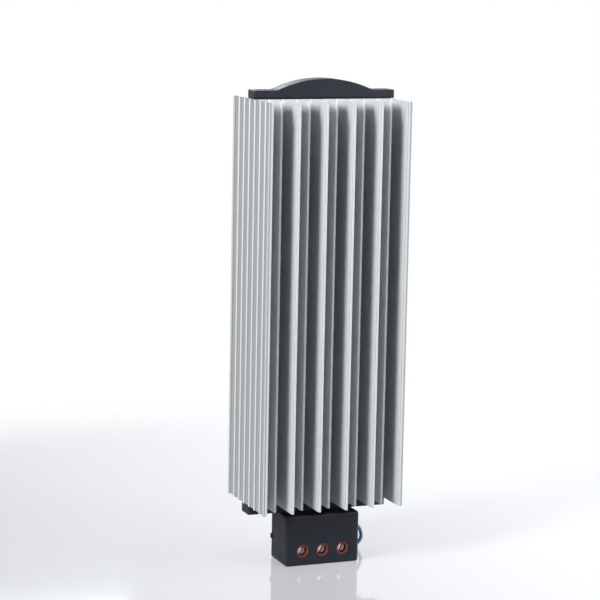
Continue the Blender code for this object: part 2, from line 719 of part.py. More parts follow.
def make_insulator():
    """Mould the red terminal body, with a collar at each front hole."""
    front = Y_HOUSING + HOUSING_WALL + GAP
    back = POLE_Y + CAGE_DEPTH / 2 + GAP + INSULATOR_WALL
    half = POLE_PITCH * (POLES - 1) / 2 + CAGE_BAY / 2 + INSULATOR_WALL
    low = Z_HOUSING + HOUSING_WALL + GAP
    high = low + INSULATOR_HEIGHT
    finish = material("red_moulding", (0.42, 0.10, 0.085), 0.4)
    bays = [rectangle(x - CAGE_BAY / 2, x + CAGE_BAY / 2, POLE_Y - CAGE_DEPTH / 2 - GAP,
                      POLE_Y + CAGE_DEPTH / 2 + GAP) for x in pole_positions()]
    shape = prism(rectangle(-half, half, front, back), low, high, holes=bays)
    body = add_object("terminal_insulator", shape, finish)
    level = Z_HOUSING + POLE_LEVEL
    seated = HOUSING_WALL + GAP + INSULATOR_FACE / 4
    for x in pole_positions():
        join(body, cylinder((x, Y_HOUSING, level), (0, 1, 0), COLLAR_DIAMETER / 2, 0,
                            seated, FINE_STEPS))
    for x in pole_positions():
        cut(body, cylinder((x, Y_HOUSING, level), (0, 1, 0), COLLAR_BORE / 2, -GAP,
                           HOUSING_WALL + GAP + INSULATOR_FACE + GAP, FINE_STEPS))
    shade_round(body)


def make_terminals():
    """Make the clamp cage and the slotted screw of each pole."""
    brass = material("nickelled_brass", (0.66, 0.60, 0.46), 0.32, 1.0)
    bright = material("bright_screw", (0.80, 0.78, 0.74), 0.22, 1.0)
    level = Z_HOUSING + POLE_LEVEL
    low = Z_HOUSING + HOUSING_WALL + 2 * GAP
    high = low + CAGE_HEIGHT
    for index, x in enumerate(pole_positions(), start=1):
        front = POLE_Y - CAGE_DEPTH / 2
        outline = rectangle(x - CAGE_WIDTH / 2, x + CAGE_WIDTH / 2, front, front + CAGE_DEPTH)
        channel = rectangle(x - CAGE_WIDTH / 2 + CAGE_WALL, x + CAGE_WIDTH / 2 - CAGE_WALL,
                            front + CAGE_WALL, front + CAGE_DEPTH - CAGE_WALL)
        cage = add_object(f"terminal_cage_{index}", prism(outline, low, high, holes=[channel]), brass)
        cut(cage, cylinder((x, front, level), (0, 1, 0), TERMINAL_SHANK / 2 + GAP,
                           -GAP, CAGE_WALL + GAP))
        seat = (x, Y_HOUSING + HEAD_RECESS + TERMINAL_HEAD_HEIGHT, level)
        pan_head_screw(f"terminal_screw_{index}", seat, (0, -1, 0), TERMINAL_SHANK,
                       TERMINAL_SCREW_LENGTH, TERMINAL_HEAD, TERMINAL_HEAD_HEIGHT, bright, SLOT_LEAN)


def make_housing_screws():
    """Make the two screws that hold the housing to the lower cap."""
    steel = material("zinc_steel", (0.62, 0.64, 0.66), 0.3, 1.0)
    for side, name in ((-1, "left"), (1, "right")):
        seat = (side * HOUSING_SCREW_OFFSET, Y_CORE_MID, Z_HOUSING_TOP - HOUSING_WALL - GAP)
        pan_head_screw(f"housing_screw_{name}", seat, (0, 0, -1), SCREW_SHANK,
                       HOUSING_SCREW_LENGTH, CAP_SCREW_HEAD, CAP_SCREW_HEAD_HEIGHT, steel)


def make_heating_pack():
    """Make the sleeve, electrodes, stones and stone frame inside the core."""
    outer_depth = CAVITY_DEPTH / 2 - GAP
    inner_depth = outer_depth - SLEEVE_WALL
    sleeve = prism(rectangle(-PACK_HALF, PACK_HALF, Y_CORE_MID - outer_depth, Y_CORE_MID + outer_depth),
                   PACK_LOW, PACK_HIGH,
                   holes=[rectangle(-PACK_INNER, PACK_INNER, Y_CORE_MID - inner_depth,
                                    Y_CORE_MID + inner_depth)])
    add_object("insulation_sleeve", sleeve, material("insulating_film", (0.62, 0.36, 0.08), 0.35))
    aluminium = material("electrode_aluminium", (0.75, 0.76, 0.78), 0.35, 1.0)
    outer_face = inner_depth - GAP
    inner_face = outer_face - ELECTRODE
    plate_low = PACK_LOW + ELECTRODE_TAB_LENGTH + GAP
    for side, name in ((-1, "front"), (1, "back")):
        near, far = sorted((Y_CORE_MID + side * inner_face, Y_CORE_MID + side * outer_face))
        plate = add_object(f"electrode_{name}", box(
            (-FRAME_HALF, near, plate_low), (FRAME_HALF, far, PACK_HIGH)), aluminium)
        lead_x = side * LEAD_OFFSET
        tab_near, tab_far = sorted((Y_CORE_MID + side * outer_face, Y_CORE_MID - side * ELECTRODE))
        join(plate, box((lead_x - ELECTRODE_TAB / 2, near, PACK_LOW + GAP),
                        (lead_x + ELECTRODE_TAB / 2, far, plate_low + ELECTRODE)))
        join(plate, box((lead_x - ELECTRODE_TAB / 2, tab_near, PACK_LOW + GAP),
                        (lead_x + ELECTRODE_TAB / 2, tab_far, PACK_LOW + GAP + ELECTRODE)))
    thickness = inner_face - GAP
    half_window = (STONE_WINDOW / 2, STONE_HEIGHT / 2 + GAP)
    column = (STONE_WINDOW + FRAME_BAR) / 2
    middle = (plate_low + PACK_HIGH) / 2
    ceramic = material("ceramic", (0.30, 0.29, 0.28), 0.6)
    windows = []
    number = 0
    for row in range(STONE_ROWS):
        level = middle + (row - (STONE_ROWS - 1) / 2) * STONE_PITCH
        for x in (-column, column):
            number += 1
            windows.append(rectangle(x - half_window[0], x + half_window[0],
                                     level - half_window[1], level + half_window[1]))
            add_object(f"ptc_stone_{number}", box(
                (x - STONE_WIDTH / 2, Y_CORE_MID - thickness, level - STONE_HEIGHT / 2),
                (x + STONE_WIDTH / 2, Y_CORE_MID + thickness, level + STONE_HEIGHT / 2)), ceramic)
    outline = rectangle(-FRAME_HALF, FRAME_HALF, plate_low, PACK_HIGH)
    shape = prism(outline, Y_CORE_MID - thickness, Y_CORE_MID + thickness, axis="Y", holes=windows)
    add_object("stone_frame", shape, material("frame_moulding", (0.78, 0.76, 0.70), 0.5))


def smooth_route(route):
    """Return evenly spaced points on a smooth curve through a route."""
    points = [Vector(point) for point in route]
    padded = [2 * points[0] - points[1], *points, 2 * points[-1] - points[-2]]
    dense = []
    for p0, p1, p2, p3 in zip(padded, padded[1:], padded[2:], padded[3:]):
        for step in range(12):
            t = step / 12
            dense.append(0.5 * ((2 * p1) + (p2 - p0) * t + (2 * p0 - 5 * p1 + 4 * p2 - p3) * t ** 2
                                + (3 * p1 - p0 - 3 * p2 + p3) * t ** 3))
    dense.append(points[-1])
    lengths = [0.0]
    for first, second in zip(dense, dense[1:]):
        lengths.append(lengths[-1] + (second - first).length)
    count = max(2, round(lengths[-1] / LEAD_POINT_SPACING))
    even = []
    index = 0
    for step in range(count + 1):
        wanted = lengths[-1] * step / count
        while index < len(lengths) - 2 and lengths[index + 1] < wanted:
            index += 1
        share = (wanted - lengths[index]) / (lengths[index + 1] - lengths[index])
        even.append(dense[index].lerp(dense[index + 1], share))
    return even


def make_lead(name, side, loop, finish):
    """Run one lead from its electrode tab out of the housing and back to its terminal."""
    start_x = side * LEAD_OFFSET
    return_x = side * LEAD_RETURN_OFFSET
    pole_x = side * POLE_PITCH
    port_z = Z_HOUSING + LEAD_PORT_LEVEL
    cover_front = Y_HOUSING_BACK - HOUSING_WALL
    cage_top = Z_HOUSING + HOUSING_WALL + 2 * GAP + CAGE_HEIGHT
    route = [
        (start_x, Y_CORE_MID, PACK_LOW),
        (start_x, Y_CORE_MID, Z_SINK),
        (start_x, Y_CORE_MID, Z_HOUSING_TOP - HOUSING_WALL),
    ]
    route += [(start_x, Y_CORE_MID + back, port_z + up) for back, up in LEAD_TURN]
    route += [(start_x, cover_front, port_z), (start_x, Y_HOUSING_BACK + LEAD_STRAIGHT, port_z)]
    right_side = side * HOUSING_WIDTH / 2
    for x, y, z in loop:
        route.append((right_side + side * x, Y_HOUSING_BACK + y, Z_HOUSING + z))
    route += [(return_x, Y_HOUSING_BACK + LEAD_STRAIGHT, port_z), (return_x, cover_front, port_z)]
    for share, back, down in RETURN_TURN:
        x = return_x + (pole_x - return_x) * share
        route.append((x, POLE_Y + back, port_z - down))
    route += [(pole_x, POLE_Y, cage_top), (pole_x, POLE_Y, cage_top - CAGE_HEIGHT / 2 + TERMINAL_SHANK)]
    curve = bpy.data.curves.new(name, "CURVE")
    curve.dimensions = "3D"
    curve.bevel_depth = LEAD_DIAMETER / 2
    curve.bevel_resolution = LEAD_BEVEL_RESOLUTION
    curve.use_fill_caps = True
    spline = curve.splines.new("POLY")
    points = smooth_route(route)
    spline.points.add(len(points) - 1)
    for knot, point in zip(spline.points, points):
        knot.co = (*point, 1.0)
    spline.use_smooth = True
    curve.materials.append(finish)
    made = bpy.data.objects.new(name, curve)
    bpy.context.scene.collection.objects.link(made)


# Turn of a lead in the housing: back from the middle of the core, up from its port
LEAD_TURN = ((0.0009, 0.0026), (0.0036, 0.0003))

# Its way back to the terminal: share of the way across, behind the pole, below the port
RETURN_TURN = ((0.27, 0.0085, 0.0), (0.87, 0.0028, 0.0010), (1.0, 0.0002, 0.0042))

# Slack loops behind the housing: out from its side, back from its back, up from its base
NEUTRAL_LOOP = (
    (-0.0045, 0.0030, 0.0235), (0.0015, 0.0042, 0.0214), (0.0072, 0.0040, 0.0176),
    (0.0119, 0.0036, 0.0139), (0.0140, 0.0034, 0.0098), (0.0138, 0.0032, 0.0056),
    (0.0112, 0.0031, 0.0028), (0.0066, 0.0030, 0.0018), (0.0008, 0.0031, 0.0026),
    (-0.0045, 0.0034, 0.0062),
    (-0.0090, 0.0036, 0.0120), (-0.0124, 0.0034, 0.0180), (-0.0136, 0.0026, 0.0222),
)
LIVE_LOOP = (
    (-0.0058, 0.0030, 0.0228), (-0.0040, 0.0038, 0.0190), (-0.0036, 0.0038, 0.0140),
    (-0.0056, 0.0036, 0.0096), (-0.0092, 0.0036, 0.0094), (-0.0118, 0.0036, 0.0136),
    (-0.0132, 0.0034, 0.0186), (-0.0137, 0.0026, 0.0223),
)


def make_leads():
    """Make the two insulated leads."""
    make_lead("lead_neutral", 1, NEUTRAL_LOOP, material("blue_insulation", (0.10, 0.19, 0.34), 0.45))
    make_lead("lead_live", -1, LIVE_LOOP, material("black_insulation", (0.03, 0.03, 0.03), 0.45))


def make_earth_strip():
    """Fold the strip that bonds the middle terminal to the body, and make its screw."""
    brass = material("nickelled_brass", (0.66, 0.60, 0.46), 0.32, 1.0)
    steel = material("zinc_steel", (0.62, 0.64, 0.66), 0.3, 1.0)
    strip_y = Y_CORE_BACK + GAP + STRIP_THICKNESS / 2
    cage_low = Z_HOUSING + HOUSING_WALL + 2 * GAP
    insulator_top = Z_HOUSING + HOUSING_WALL + GAP + INSULATOR_HEIGHT
    shelf = insulator_top + GAP + STRIP_BEND
    line = [(strip_y, Z_SINK + STRIP_RISE), (strip_y, shelf), (POLE_Y, shelf),
            (POLE_Y, cage_low + CAGE_HEIGHT - CAGE_WALL)]
    outline = folded_strip(line, STRIP_THICKNESS, STRIP_BEND)
    half = (CAGE_WIDTH - 2 * CAGE_WALL) / 2 - GAP
    half = min(half, STRIP_WIDTH / 2)
    strip = add_object("earth_strip", prism(outline, -half, half, axis="X"), brass)
    level = Z_SINK + EARTH_SCREW_RISE
    cut(strip, cylinder((0, strip_y, level), (0, 1, 0), SCREW_SHANK / 2 + GAP,
                        -STRIP_THICKNESS, STRIP_THICKNESS))
    seat = (0, strip_y + STRIP_THICKNESS / 2 + GAP, level)
    pan_head_screw("earth_screw", seat, (0, 1, 0), SCREW_SHANK,
                   STRIP_THICKNESS + 2 * GAP + CORE_WALL, EARTH_SCREW_HEAD,
                   EARTH_SCREW_HEAD_HEIGHT, steel)


def make_rail_clip():
    """Fold the clip, its spring and its slider, and make the screws that clamp them."""
    zinc = material("zinc_sheet", (0.55, 0.60, 0.66), 0.32, 1.0)
    spring_steel = material("spring_steel", (0.50, 0.51, 0.53), 0.3, 1.0)
    steel = material("zinc_steel", (0.62, 0.64, 0.66), 0.3, 1.0)
    half = CLIP_WIDTH / 2
    web = Y_BACK + GAP
    web_back = web + CLIP_SHEET
    hook_front = Y_REAR - CLIP_SHEET
    seat = hook_front - SEAT_GAP
    upper = Z_CLIP + RAIL_HEIGHT / 2 + GAP
    lower = Z_CLIP - RAIL_HEIGHT / 2 - GAP
    nose_low = upper - CLIP_NOSE
    side = [(web, lower - CLIP_OVERHANG), (seat, lower - CLIP_OVERHANG / 2),
            (seat, nose_low - CLIP_RELIEF), (seat - CLIP_RELIEF, nose_low - CLIP_RELIEF),
            (seat - CLIP_RELIEF, upper), (hook_front, upper), (hook_front, nose_low), (Y_REAR, nose_low),
            (Y_REAR, upper + CLIP_OVERHANG / 2), (seat, upper + CLIP_OVERHANG),
            (web, upper + CLIP_OVERHANG)]
    clip = add_object("din_clip", prism(side, -half, half, axis="X"), zinc)
    inner = half - CLIP_SHEET
    cut(clip, box((-inner, web_back, lower - 2 * CLIP_OVERHANG),
                  (inner, Y_REAR + CLIP_SHEET, upper + 2 * CLIP_OVERHANG)))
    screw_levels = [Z_CLIP + sign * CLIP_SCREW_SPACING / 2 for sign in (-1, 1)]
    hole = CLIP_SCREW_SHANK / 2 + GAP
    for level in screw_levels:
        cut(clip, cylinder((0, web, level), (0, 1, 0), hole, -GAP, CLIP_SHEET + GAP))

    slider_back = Y_BACK - LIP_THICKNESS - GAP
    slider_half = CHANNEL_WIDTH / 2 - GAP
    slider = add_object("clip_slider", box(
        (-slider_half, slider_back - CLIP_SHEET, Z_CLIP - SLIDER_HEIGHT / 2),
        (slider_half, slider_back, Z_CLIP + SLIDER_HEIGHT / 2)), steel)
    for level in screw_levels:
        cut(slider, cylinder((0, slider_back, level), (0, 1, 0), hole, -CLIP_SHEET - GAP, GAP))

    leaf = web_back + GAP + SPRING_SHEET / 2
    foot = lower - SPRING_DROP
    nose = Y_REAR - SPRING_SHEET / 2 - GAP
    line = [(leaf, Z_CLIP + CLIP_SCREW_SPACING / 2 + CLIP_SCREW_HEAD), (leaf, foot), (nose, foot),
            (nose, lower + SPRING_NOSE)]
    outline = folded_strip(line, SPRING_SHEET, SPRING_BEND)
    spring_half = SPRING_WIDTH / 2
    spring = add_object("clip_spring", prism(outline, -spring_half, spring_half, axis="X"), spring_steel)
    for level in screw_levels:
        cut(spring, cylinder((0, leaf, level), (0, 1, 0), hole, -SPRING_SHEET, SPRING_SHEET))
    middle = (leaf + nose) / 2
    cut(spring, box((-DRIVER_SLOT_WIDTH / 2, middle - DRIVER_SLOT_DEPTH / 2, foot - SPRING_SHEET),
                    (DRIVER_SLOT_WIDTH / 2, middle + DRIVER_SLOT_DEPTH / 2, foot + SPRING_SHEET)))
    for level, name in zip(screw_levels, ("lower", "upper")):
        pan_head_screw(f"clip_screw_{name}", (0, leaf + SPRING_SHEET / 2 + GAP, level), (0, 1, 0),
                       CLIP_SCREW_SHANK, CLIP_SCREW_LENGTH + SPRING_SHEET, CLIP_SCREW_HEAD,
                       CLIP_SCREW_HEAD_HEIGHT, steel)


def main():
    """Build the heater."""
    clear_scene()
    make_heat_sink()
    make_top_cap()
    make_bottom_cap()
    make_seals()
    make_cap_screws()
    make_housing()
    make_housing_back()
    make_insulator()
    make_terminals()
    make_housing_screws()
    make_heating_pack()
    make_leads()
    make_earth_strip()
    make_rail_clip()


main()
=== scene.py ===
"""Dressed scene of a finned enclosure heater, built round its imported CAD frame.

Everything is in metres in the frame of the CAD: +X to the right, -Y towards the
front fins, +Z up, with the origin under the middle of the terminal housing.
"""

import logging
import math
from abc import ABC, abstractmethod
from collections.abc import Callable
from dataclasses import dataclass, field
from enum import Enum
from itertools import cycle

import bmesh
import bpy
from mathutils import Matrix, Vector


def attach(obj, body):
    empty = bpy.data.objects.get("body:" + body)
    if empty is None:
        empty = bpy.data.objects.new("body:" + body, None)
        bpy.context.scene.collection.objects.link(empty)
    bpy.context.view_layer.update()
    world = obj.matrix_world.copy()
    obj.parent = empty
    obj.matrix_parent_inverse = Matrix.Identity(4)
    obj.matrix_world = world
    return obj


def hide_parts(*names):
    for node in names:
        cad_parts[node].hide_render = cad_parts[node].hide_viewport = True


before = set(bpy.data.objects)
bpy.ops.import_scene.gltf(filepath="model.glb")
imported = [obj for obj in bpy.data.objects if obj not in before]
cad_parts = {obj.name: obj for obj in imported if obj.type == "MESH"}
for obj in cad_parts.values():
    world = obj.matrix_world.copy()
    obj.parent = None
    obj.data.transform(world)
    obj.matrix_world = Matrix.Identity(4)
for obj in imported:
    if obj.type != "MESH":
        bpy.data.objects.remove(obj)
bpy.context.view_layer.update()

log = logging.getLogger("heater")

BODY = "root"

# Points and levels that differ by less than this are the same
SAME_PLACE = 1e-6

Node = bpy.types.Node
NodeTree = bpy.types.NodeTree
Piece = bpy.types.Object
Socket = bpy.types.NodeSocket
Triple = tuple[float, float, float]
Pair = tuple[float, float]
EdgeTest = Callable[[bmesh.types.BMEdge], bool]
FaceTest = Callable[[bmesh.types.BMFace], bool]
Value = Socket | float | Triple


class Slot(Enum):
    """Material slots of the record."""

    ANODISED = "anodised"
    BLACK = "black_moulding"
    RED = "red_moulding"
    SILICONE = "silicone"
    ZINC = "zinc_steel"
    BRIGHT = "bright_screw"
    BRASS = "nickelled_brass"
    FILM = "insulating_film"
    ELECTRODE = "electrode"
    CERAMIC = "ceramic"
    FRAME = "frame_moulding"
    BLUE = "blue_insulation"
    DARK = "black_insulation"
    SHEET = "zinc_sheet"
    SPRING = "spring_steel"


class HeadForm(Enum):
    """Forms of a screw's head."""

    PAN = "pan"
    COUNTERSUNK = "countersunk"


# Node graphs


class Graph:
    """A node tree, with short ways to add and join its nodes."""

    def __init__(self, tree: NodeTree) -> None:
        """Take the tree that the nodes go into."""
        self.tree = tree

    def put(self, socket: Socket, value: Value) -> None:
        """Join another node's output to a socket, or set the socket's own value.

        Args:
            socket: The input that takes the value.
            value: An output socket, a number, or a colour or vector.
        """
        if isinstance(value, Socket):
            self.tree.links.new(value, socket)
        elif isinstance(value, tuple) and socket.type == "RGBA":
            socket.default_value = (*value, 1.0)
        else:
            socket.default_value = value

    def add(self, kind: str, values: dict[str | int, Value] | None = None,
            **settings: object) -> Node:
        """Add a node.

        Args:
            kind: The node's type name.
            values: What goes into its inputs, by name or number.
            **settings: Properties of the node itself.

        Returns:
            The new node.
        """
        node = self.tree.nodes.new(kind)
        for name, setting in settings.items():
            setattr(node, name, setting)
        for key, value in (values or {}).items():
            self.put(node.inputs[key], value)
        return node

    def math(self, operation: str, first: Value, second: Value = 0.0,
             clamp: bool = False) -> Socket:
        """Return the result of a Math node on one or two values."""
        node = self.add("ShaderNodeMath", {0: first, 1: second}, operation=operation, use_clamp=clamp)
        return node.outputs[0]

    def times(self, first: Value, second: Value) -> Socket:
        """Return the product of two values."""
        return self.math("MULTIPLY", first, second)

    def spread(self, value: Value, low: float, high: float, to_low: float = 0.0,
               to_high: float = 1.0) -> Socket:
        """Return a value mapped from one range to another, and kept in it."""
        node = self.add("ShaderNodeMapRange", {0: value, 1: low, 2: high, 3: to_low, 4: to_high})
        return node.outputs[0]

    def blend(self, share: Value, first: Value, second: Value) -> Socket:
        """Return a colour between two colours."""
        node = self.add("ShaderNodeMix", data_type="RGBA")
        self.put(node.inputs[0], share)
        self.put(node.inputs[6], first)
        self.put(node.inputs[7], second)
        return node.outputs[2]

    def places(self) -> Socket:
        """Return the Object coordinates."""
        return self.add("ShaderNodeTexCoord").outputs["Object"]

    def noise(self, places: Value, scale: Value, detail: float, roughness: float = 0.5) -> Socket:
        """Return the value of a noise at some places."""
        return self.add("ShaderNodeTexNoise", {"Vector": places, "Scale": scale, "Detail": detail,
                                               "Roughness": roughness}).outputs["Fac"]


class Effects:
    """Shader groups that several finishes share, each built once."""

    # Ranges of a noise or a mask that are spread over 0 to 1
    mottle_range: Pair = (0.3, 0.7)
    streak_range: Pair = (0.32, 0.68)
    edge_range: Pair = (0.985, 0.86)
    breakup_range: Pair = (0.38, 0.62)

    # Share of the edge wear and painted sheen that is left where the noise breaks it up most
    breakup_least: float = 0.25

    # Scale of the broad streaks against the fine ones, and the share of each in the tone
    broad_scale: float = 0.16
    streak_share: float = 0.5

    def __init__(self) -> None:
        """Build all the groups."""
        self.grain = self._grain()
        self.streaks = self._streaks()
        self.wear = self._wear()
        self.rings = self._rings()

    def _group(self, name: str, inputs: dict[str, float | Triple],
               outputs: tuple[str, ...]) -> tuple[Graph, Node, Node]:
        """Start a group.

        Args:
            name: The group's name.
            inputs: Default of each input, by name.
            outputs: Names of the outputs, all plain values.

        Returns:
            The group's graph, its input node and its output node.
        """
        tree = bpy.data.node_groups.new(name, "ShaderNodeTree")
        for key, default in inputs.items():
            kind = "NodeSocketVector" if isinstance(default, tuple) else "NodeSocketFloat"
            socket = tree.interface.new_socket(name=key, in_out="INPUT", socket_type=kind)
            socket.default_value = default
        for key in outputs:
            tree.interface.new_socket(name=key, in_out="OUTPUT", socket_type="NodeSocketFloat")
        graph = Graph(tree)
        return graph, graph.add("NodeGroupInput"), graph.add("NodeGroupOutput")

    def _grain(self) -> NodeTree:
        """Build the grain of a moulded or plated surface, with a broad mottling."""
        graph, given, out = self._group("surface_grain", {"Scale": 4000.0, "Mottle": 150.0},
                                        ("Height", "Tone"))
        places = graph.places()
        fine = graph.noise(places, given.outputs["Scale"], 3.0, 0.6)
        broad = graph.noise(places, given.outputs["Mottle"], 4.0, 0.55)
        graph.put(out.inputs["Height"], fine)
        graph.put(out.inputs["Tone"], graph.spread(broad, *self.mottle_range))
        return graph.tree

    def _streaks(self) -> NodeTree:
        """Build the drawn lines of a rolled or extruded metal, long along one axis."""
        graph, given, out = self._group("drawn_streaks", {"Stretch": (1500.0, 1500.0, 6.0)},
                                        ("Height", "Tone"))
        scaled = graph.add("ShaderNodeVectorMath", {0: graph.places(), 1: given.outputs["Stretch"]},
                           operation="MULTIPLY").outputs[0]
        fine = graph.noise(scaled, 1.0, 5.0, 0.7)
        broad = graph.noise(scaled, self.broad_scale, 2.0)
        graph.put(out.inputs["Height"], fine)
        tone = graph.times(graph.math("ADD", fine, broad), self.streak_share)
        graph.put(out.inputs["Tone"], graph.spread(tone, *self.streak_range))
        return graph.tree

    def _wear(self) -> NodeTree:
        """Build a mask of rubbed edges, broken up by noise, that also paints a sheen on them."""
        graph, given, out = self._group("edge_wear_and_sheen", {"Radius": 0.0004, "Breakup": 900.0}, ("Mask",))
        rounded = graph.add("ShaderNodeBevel", {"Radius": given.outputs["Radius"]}, samples=6)
        plain = graph.add("ShaderNodeNewGeometry").outputs["Normal"]
        same = graph.add("ShaderNodeVectorMath", {0: rounded.outputs[0], 1: plain},
                         operation="DOT_PRODUCT").outputs["Value"]
        edge = graph.spread(same, *self.edge_range)
        noise = graph.noise(graph.places(), given.outputs["Breakup"], 4.0)
        broken = graph.spread(noise, *self.breakup_range, self.breakup_least, 1.0)
        graph.put(out.inputs["Mask"], graph.times(edge, broken))
        return graph.tree

    def _rings(self) -> NodeTree:
        """Build the rings that turning leaves, from a piece's own radius attribute."""
        graph, given, out = self._group("turned_rings", {"Pitch": 0.00022}, ("Height",))
        radius = graph.add("ShaderNodeAttribute", attribute_name="turning").outputs["Fac"]
        turns = graph.math("DIVIDE", radius, given.outputs["Pitch"])
        wave = graph.math("SINE", graph.times(turns, math.tau))
        graph.put(out.inputs["Height"], graph.spread(wave, -1.0, 1.0))
        return graph.tree


# Finishes


def new_material(name: str, colour: Triple,
                 roughness: float) -> tuple[bpy.types.Material, Graph, Node]:
    """Make a node material.

    Args:
        name: The material's name.
        colour: Its base colour.
        roughness: Its roughness.

    Returns:
        The material, its graph and its Principled shader.
    """
    made = bpy.data.materials.new(name)
    made.use_nodes = True
    shader = made.node_tree.nodes["Principled BSDF"]
    shader.inputs["Base Color"].default_value = (*colour, 1.0)
    shader.inputs["Roughness"].default_value = roughness
    return made, Graph(made.node_tree), shader


@dataclass(frozen=True)
class Finish(ABC):
    """A surface finish, which makes a material of its own."""

    name: str
    colour: Triple
    roughness: float

    @abstractmethod
    def dress(self, graph: Graph, shader: Node, effects: Effects) -> None:
        """Join the nodes of this finish to the shader."""

    def make(self, effects: Effects) -> bpy.types.Material:
        """Return the material, dressed with the groups shared between finishes."""
        made, graph, shader = new_material(self.name, self.colour, self.roughness)
        made.diffuse_color = (*self.colour, 1.0)
        self.dress(graph, shader, effects)
        return made

    def shine(self, graph: Graph, shader: Node, tone: Value, spread: float,
              more: Value = 0.0) -> None:
        """Set a roughness that falls as a tone rises, by a spread either way, and add to it."""
        level = graph.spread(tone, 0.0, 1.0, self.roughness + spread, self.roughness - spread)
        graph.put(shader.inputs["Roughness"], graph.math("ADD", level, more, clamp=True))

    @staticmethod
    def group(graph: Graph, tree: NodeTree, **values: Value) -> Node:
        """Place a shared group in the material with its own values."""
        node = graph.add("ShaderNodeGroup", node_tree=tree)
        for key, value in values.items():
            graph.put(node.inputs[key], value)
        return node

    @staticmethod
    def bump(graph: Graph, shader: Node, height: Value, strength: float, depth: float) -> None:
        """Join a height to the shader's Normal through a Bump node."""
        node = graph.add("ShaderNodeBump", {"Strength": strength, "Distance": depth, "Height": height})
        graph.put(shader.inputs["Normal"], node.outputs["Normal"])


@dataclass(frozen=True)
class Moulding(Finish):
    """A moulded plastic or rubber with a fine eroded grain and rubbed edges that also carry a painted
    sheen.
    """

    shade: Triple
    worn: Triple
    spread: float = 0.06
    grain: float = 5200.0
    mottle: float = 140.0
    depth: float = 0.00003
    relief: float = 0.35
    wear: float = 0.5
    edge: float = 0.0005
    specular: float = 0.5

    def dress(self, graph: Graph, shader: Node, effects: Effects) -> None:
        """Join grain, mottling and rubbed edges with their painted sheen to the shader."""
        shader.inputs["Specular IOR Level"].default_value = self.specular
        grain = self.group(graph, effects.grain, Scale=self.grain, Mottle=self.mottle)
        rubbed_and_lit = self.group(graph, effects.wear, Radius=self.edge).outputs["Mask"]
        colour = graph.blend(grain.outputs["Tone"], self.shade, self.colour)
        colour = graph.blend(graph.times(rubbed_and_lit, self.wear), colour, self.worn)
        graph.put(shader.inputs["Base Color"], colour)
        self.shine(graph, shader, grain.outputs["Tone"], self.spread, graph.times(rubbed_and_lit, -self.spread))
        self.bump(graph, shader, grain.outputs["Height"], self.relief, self.depth)


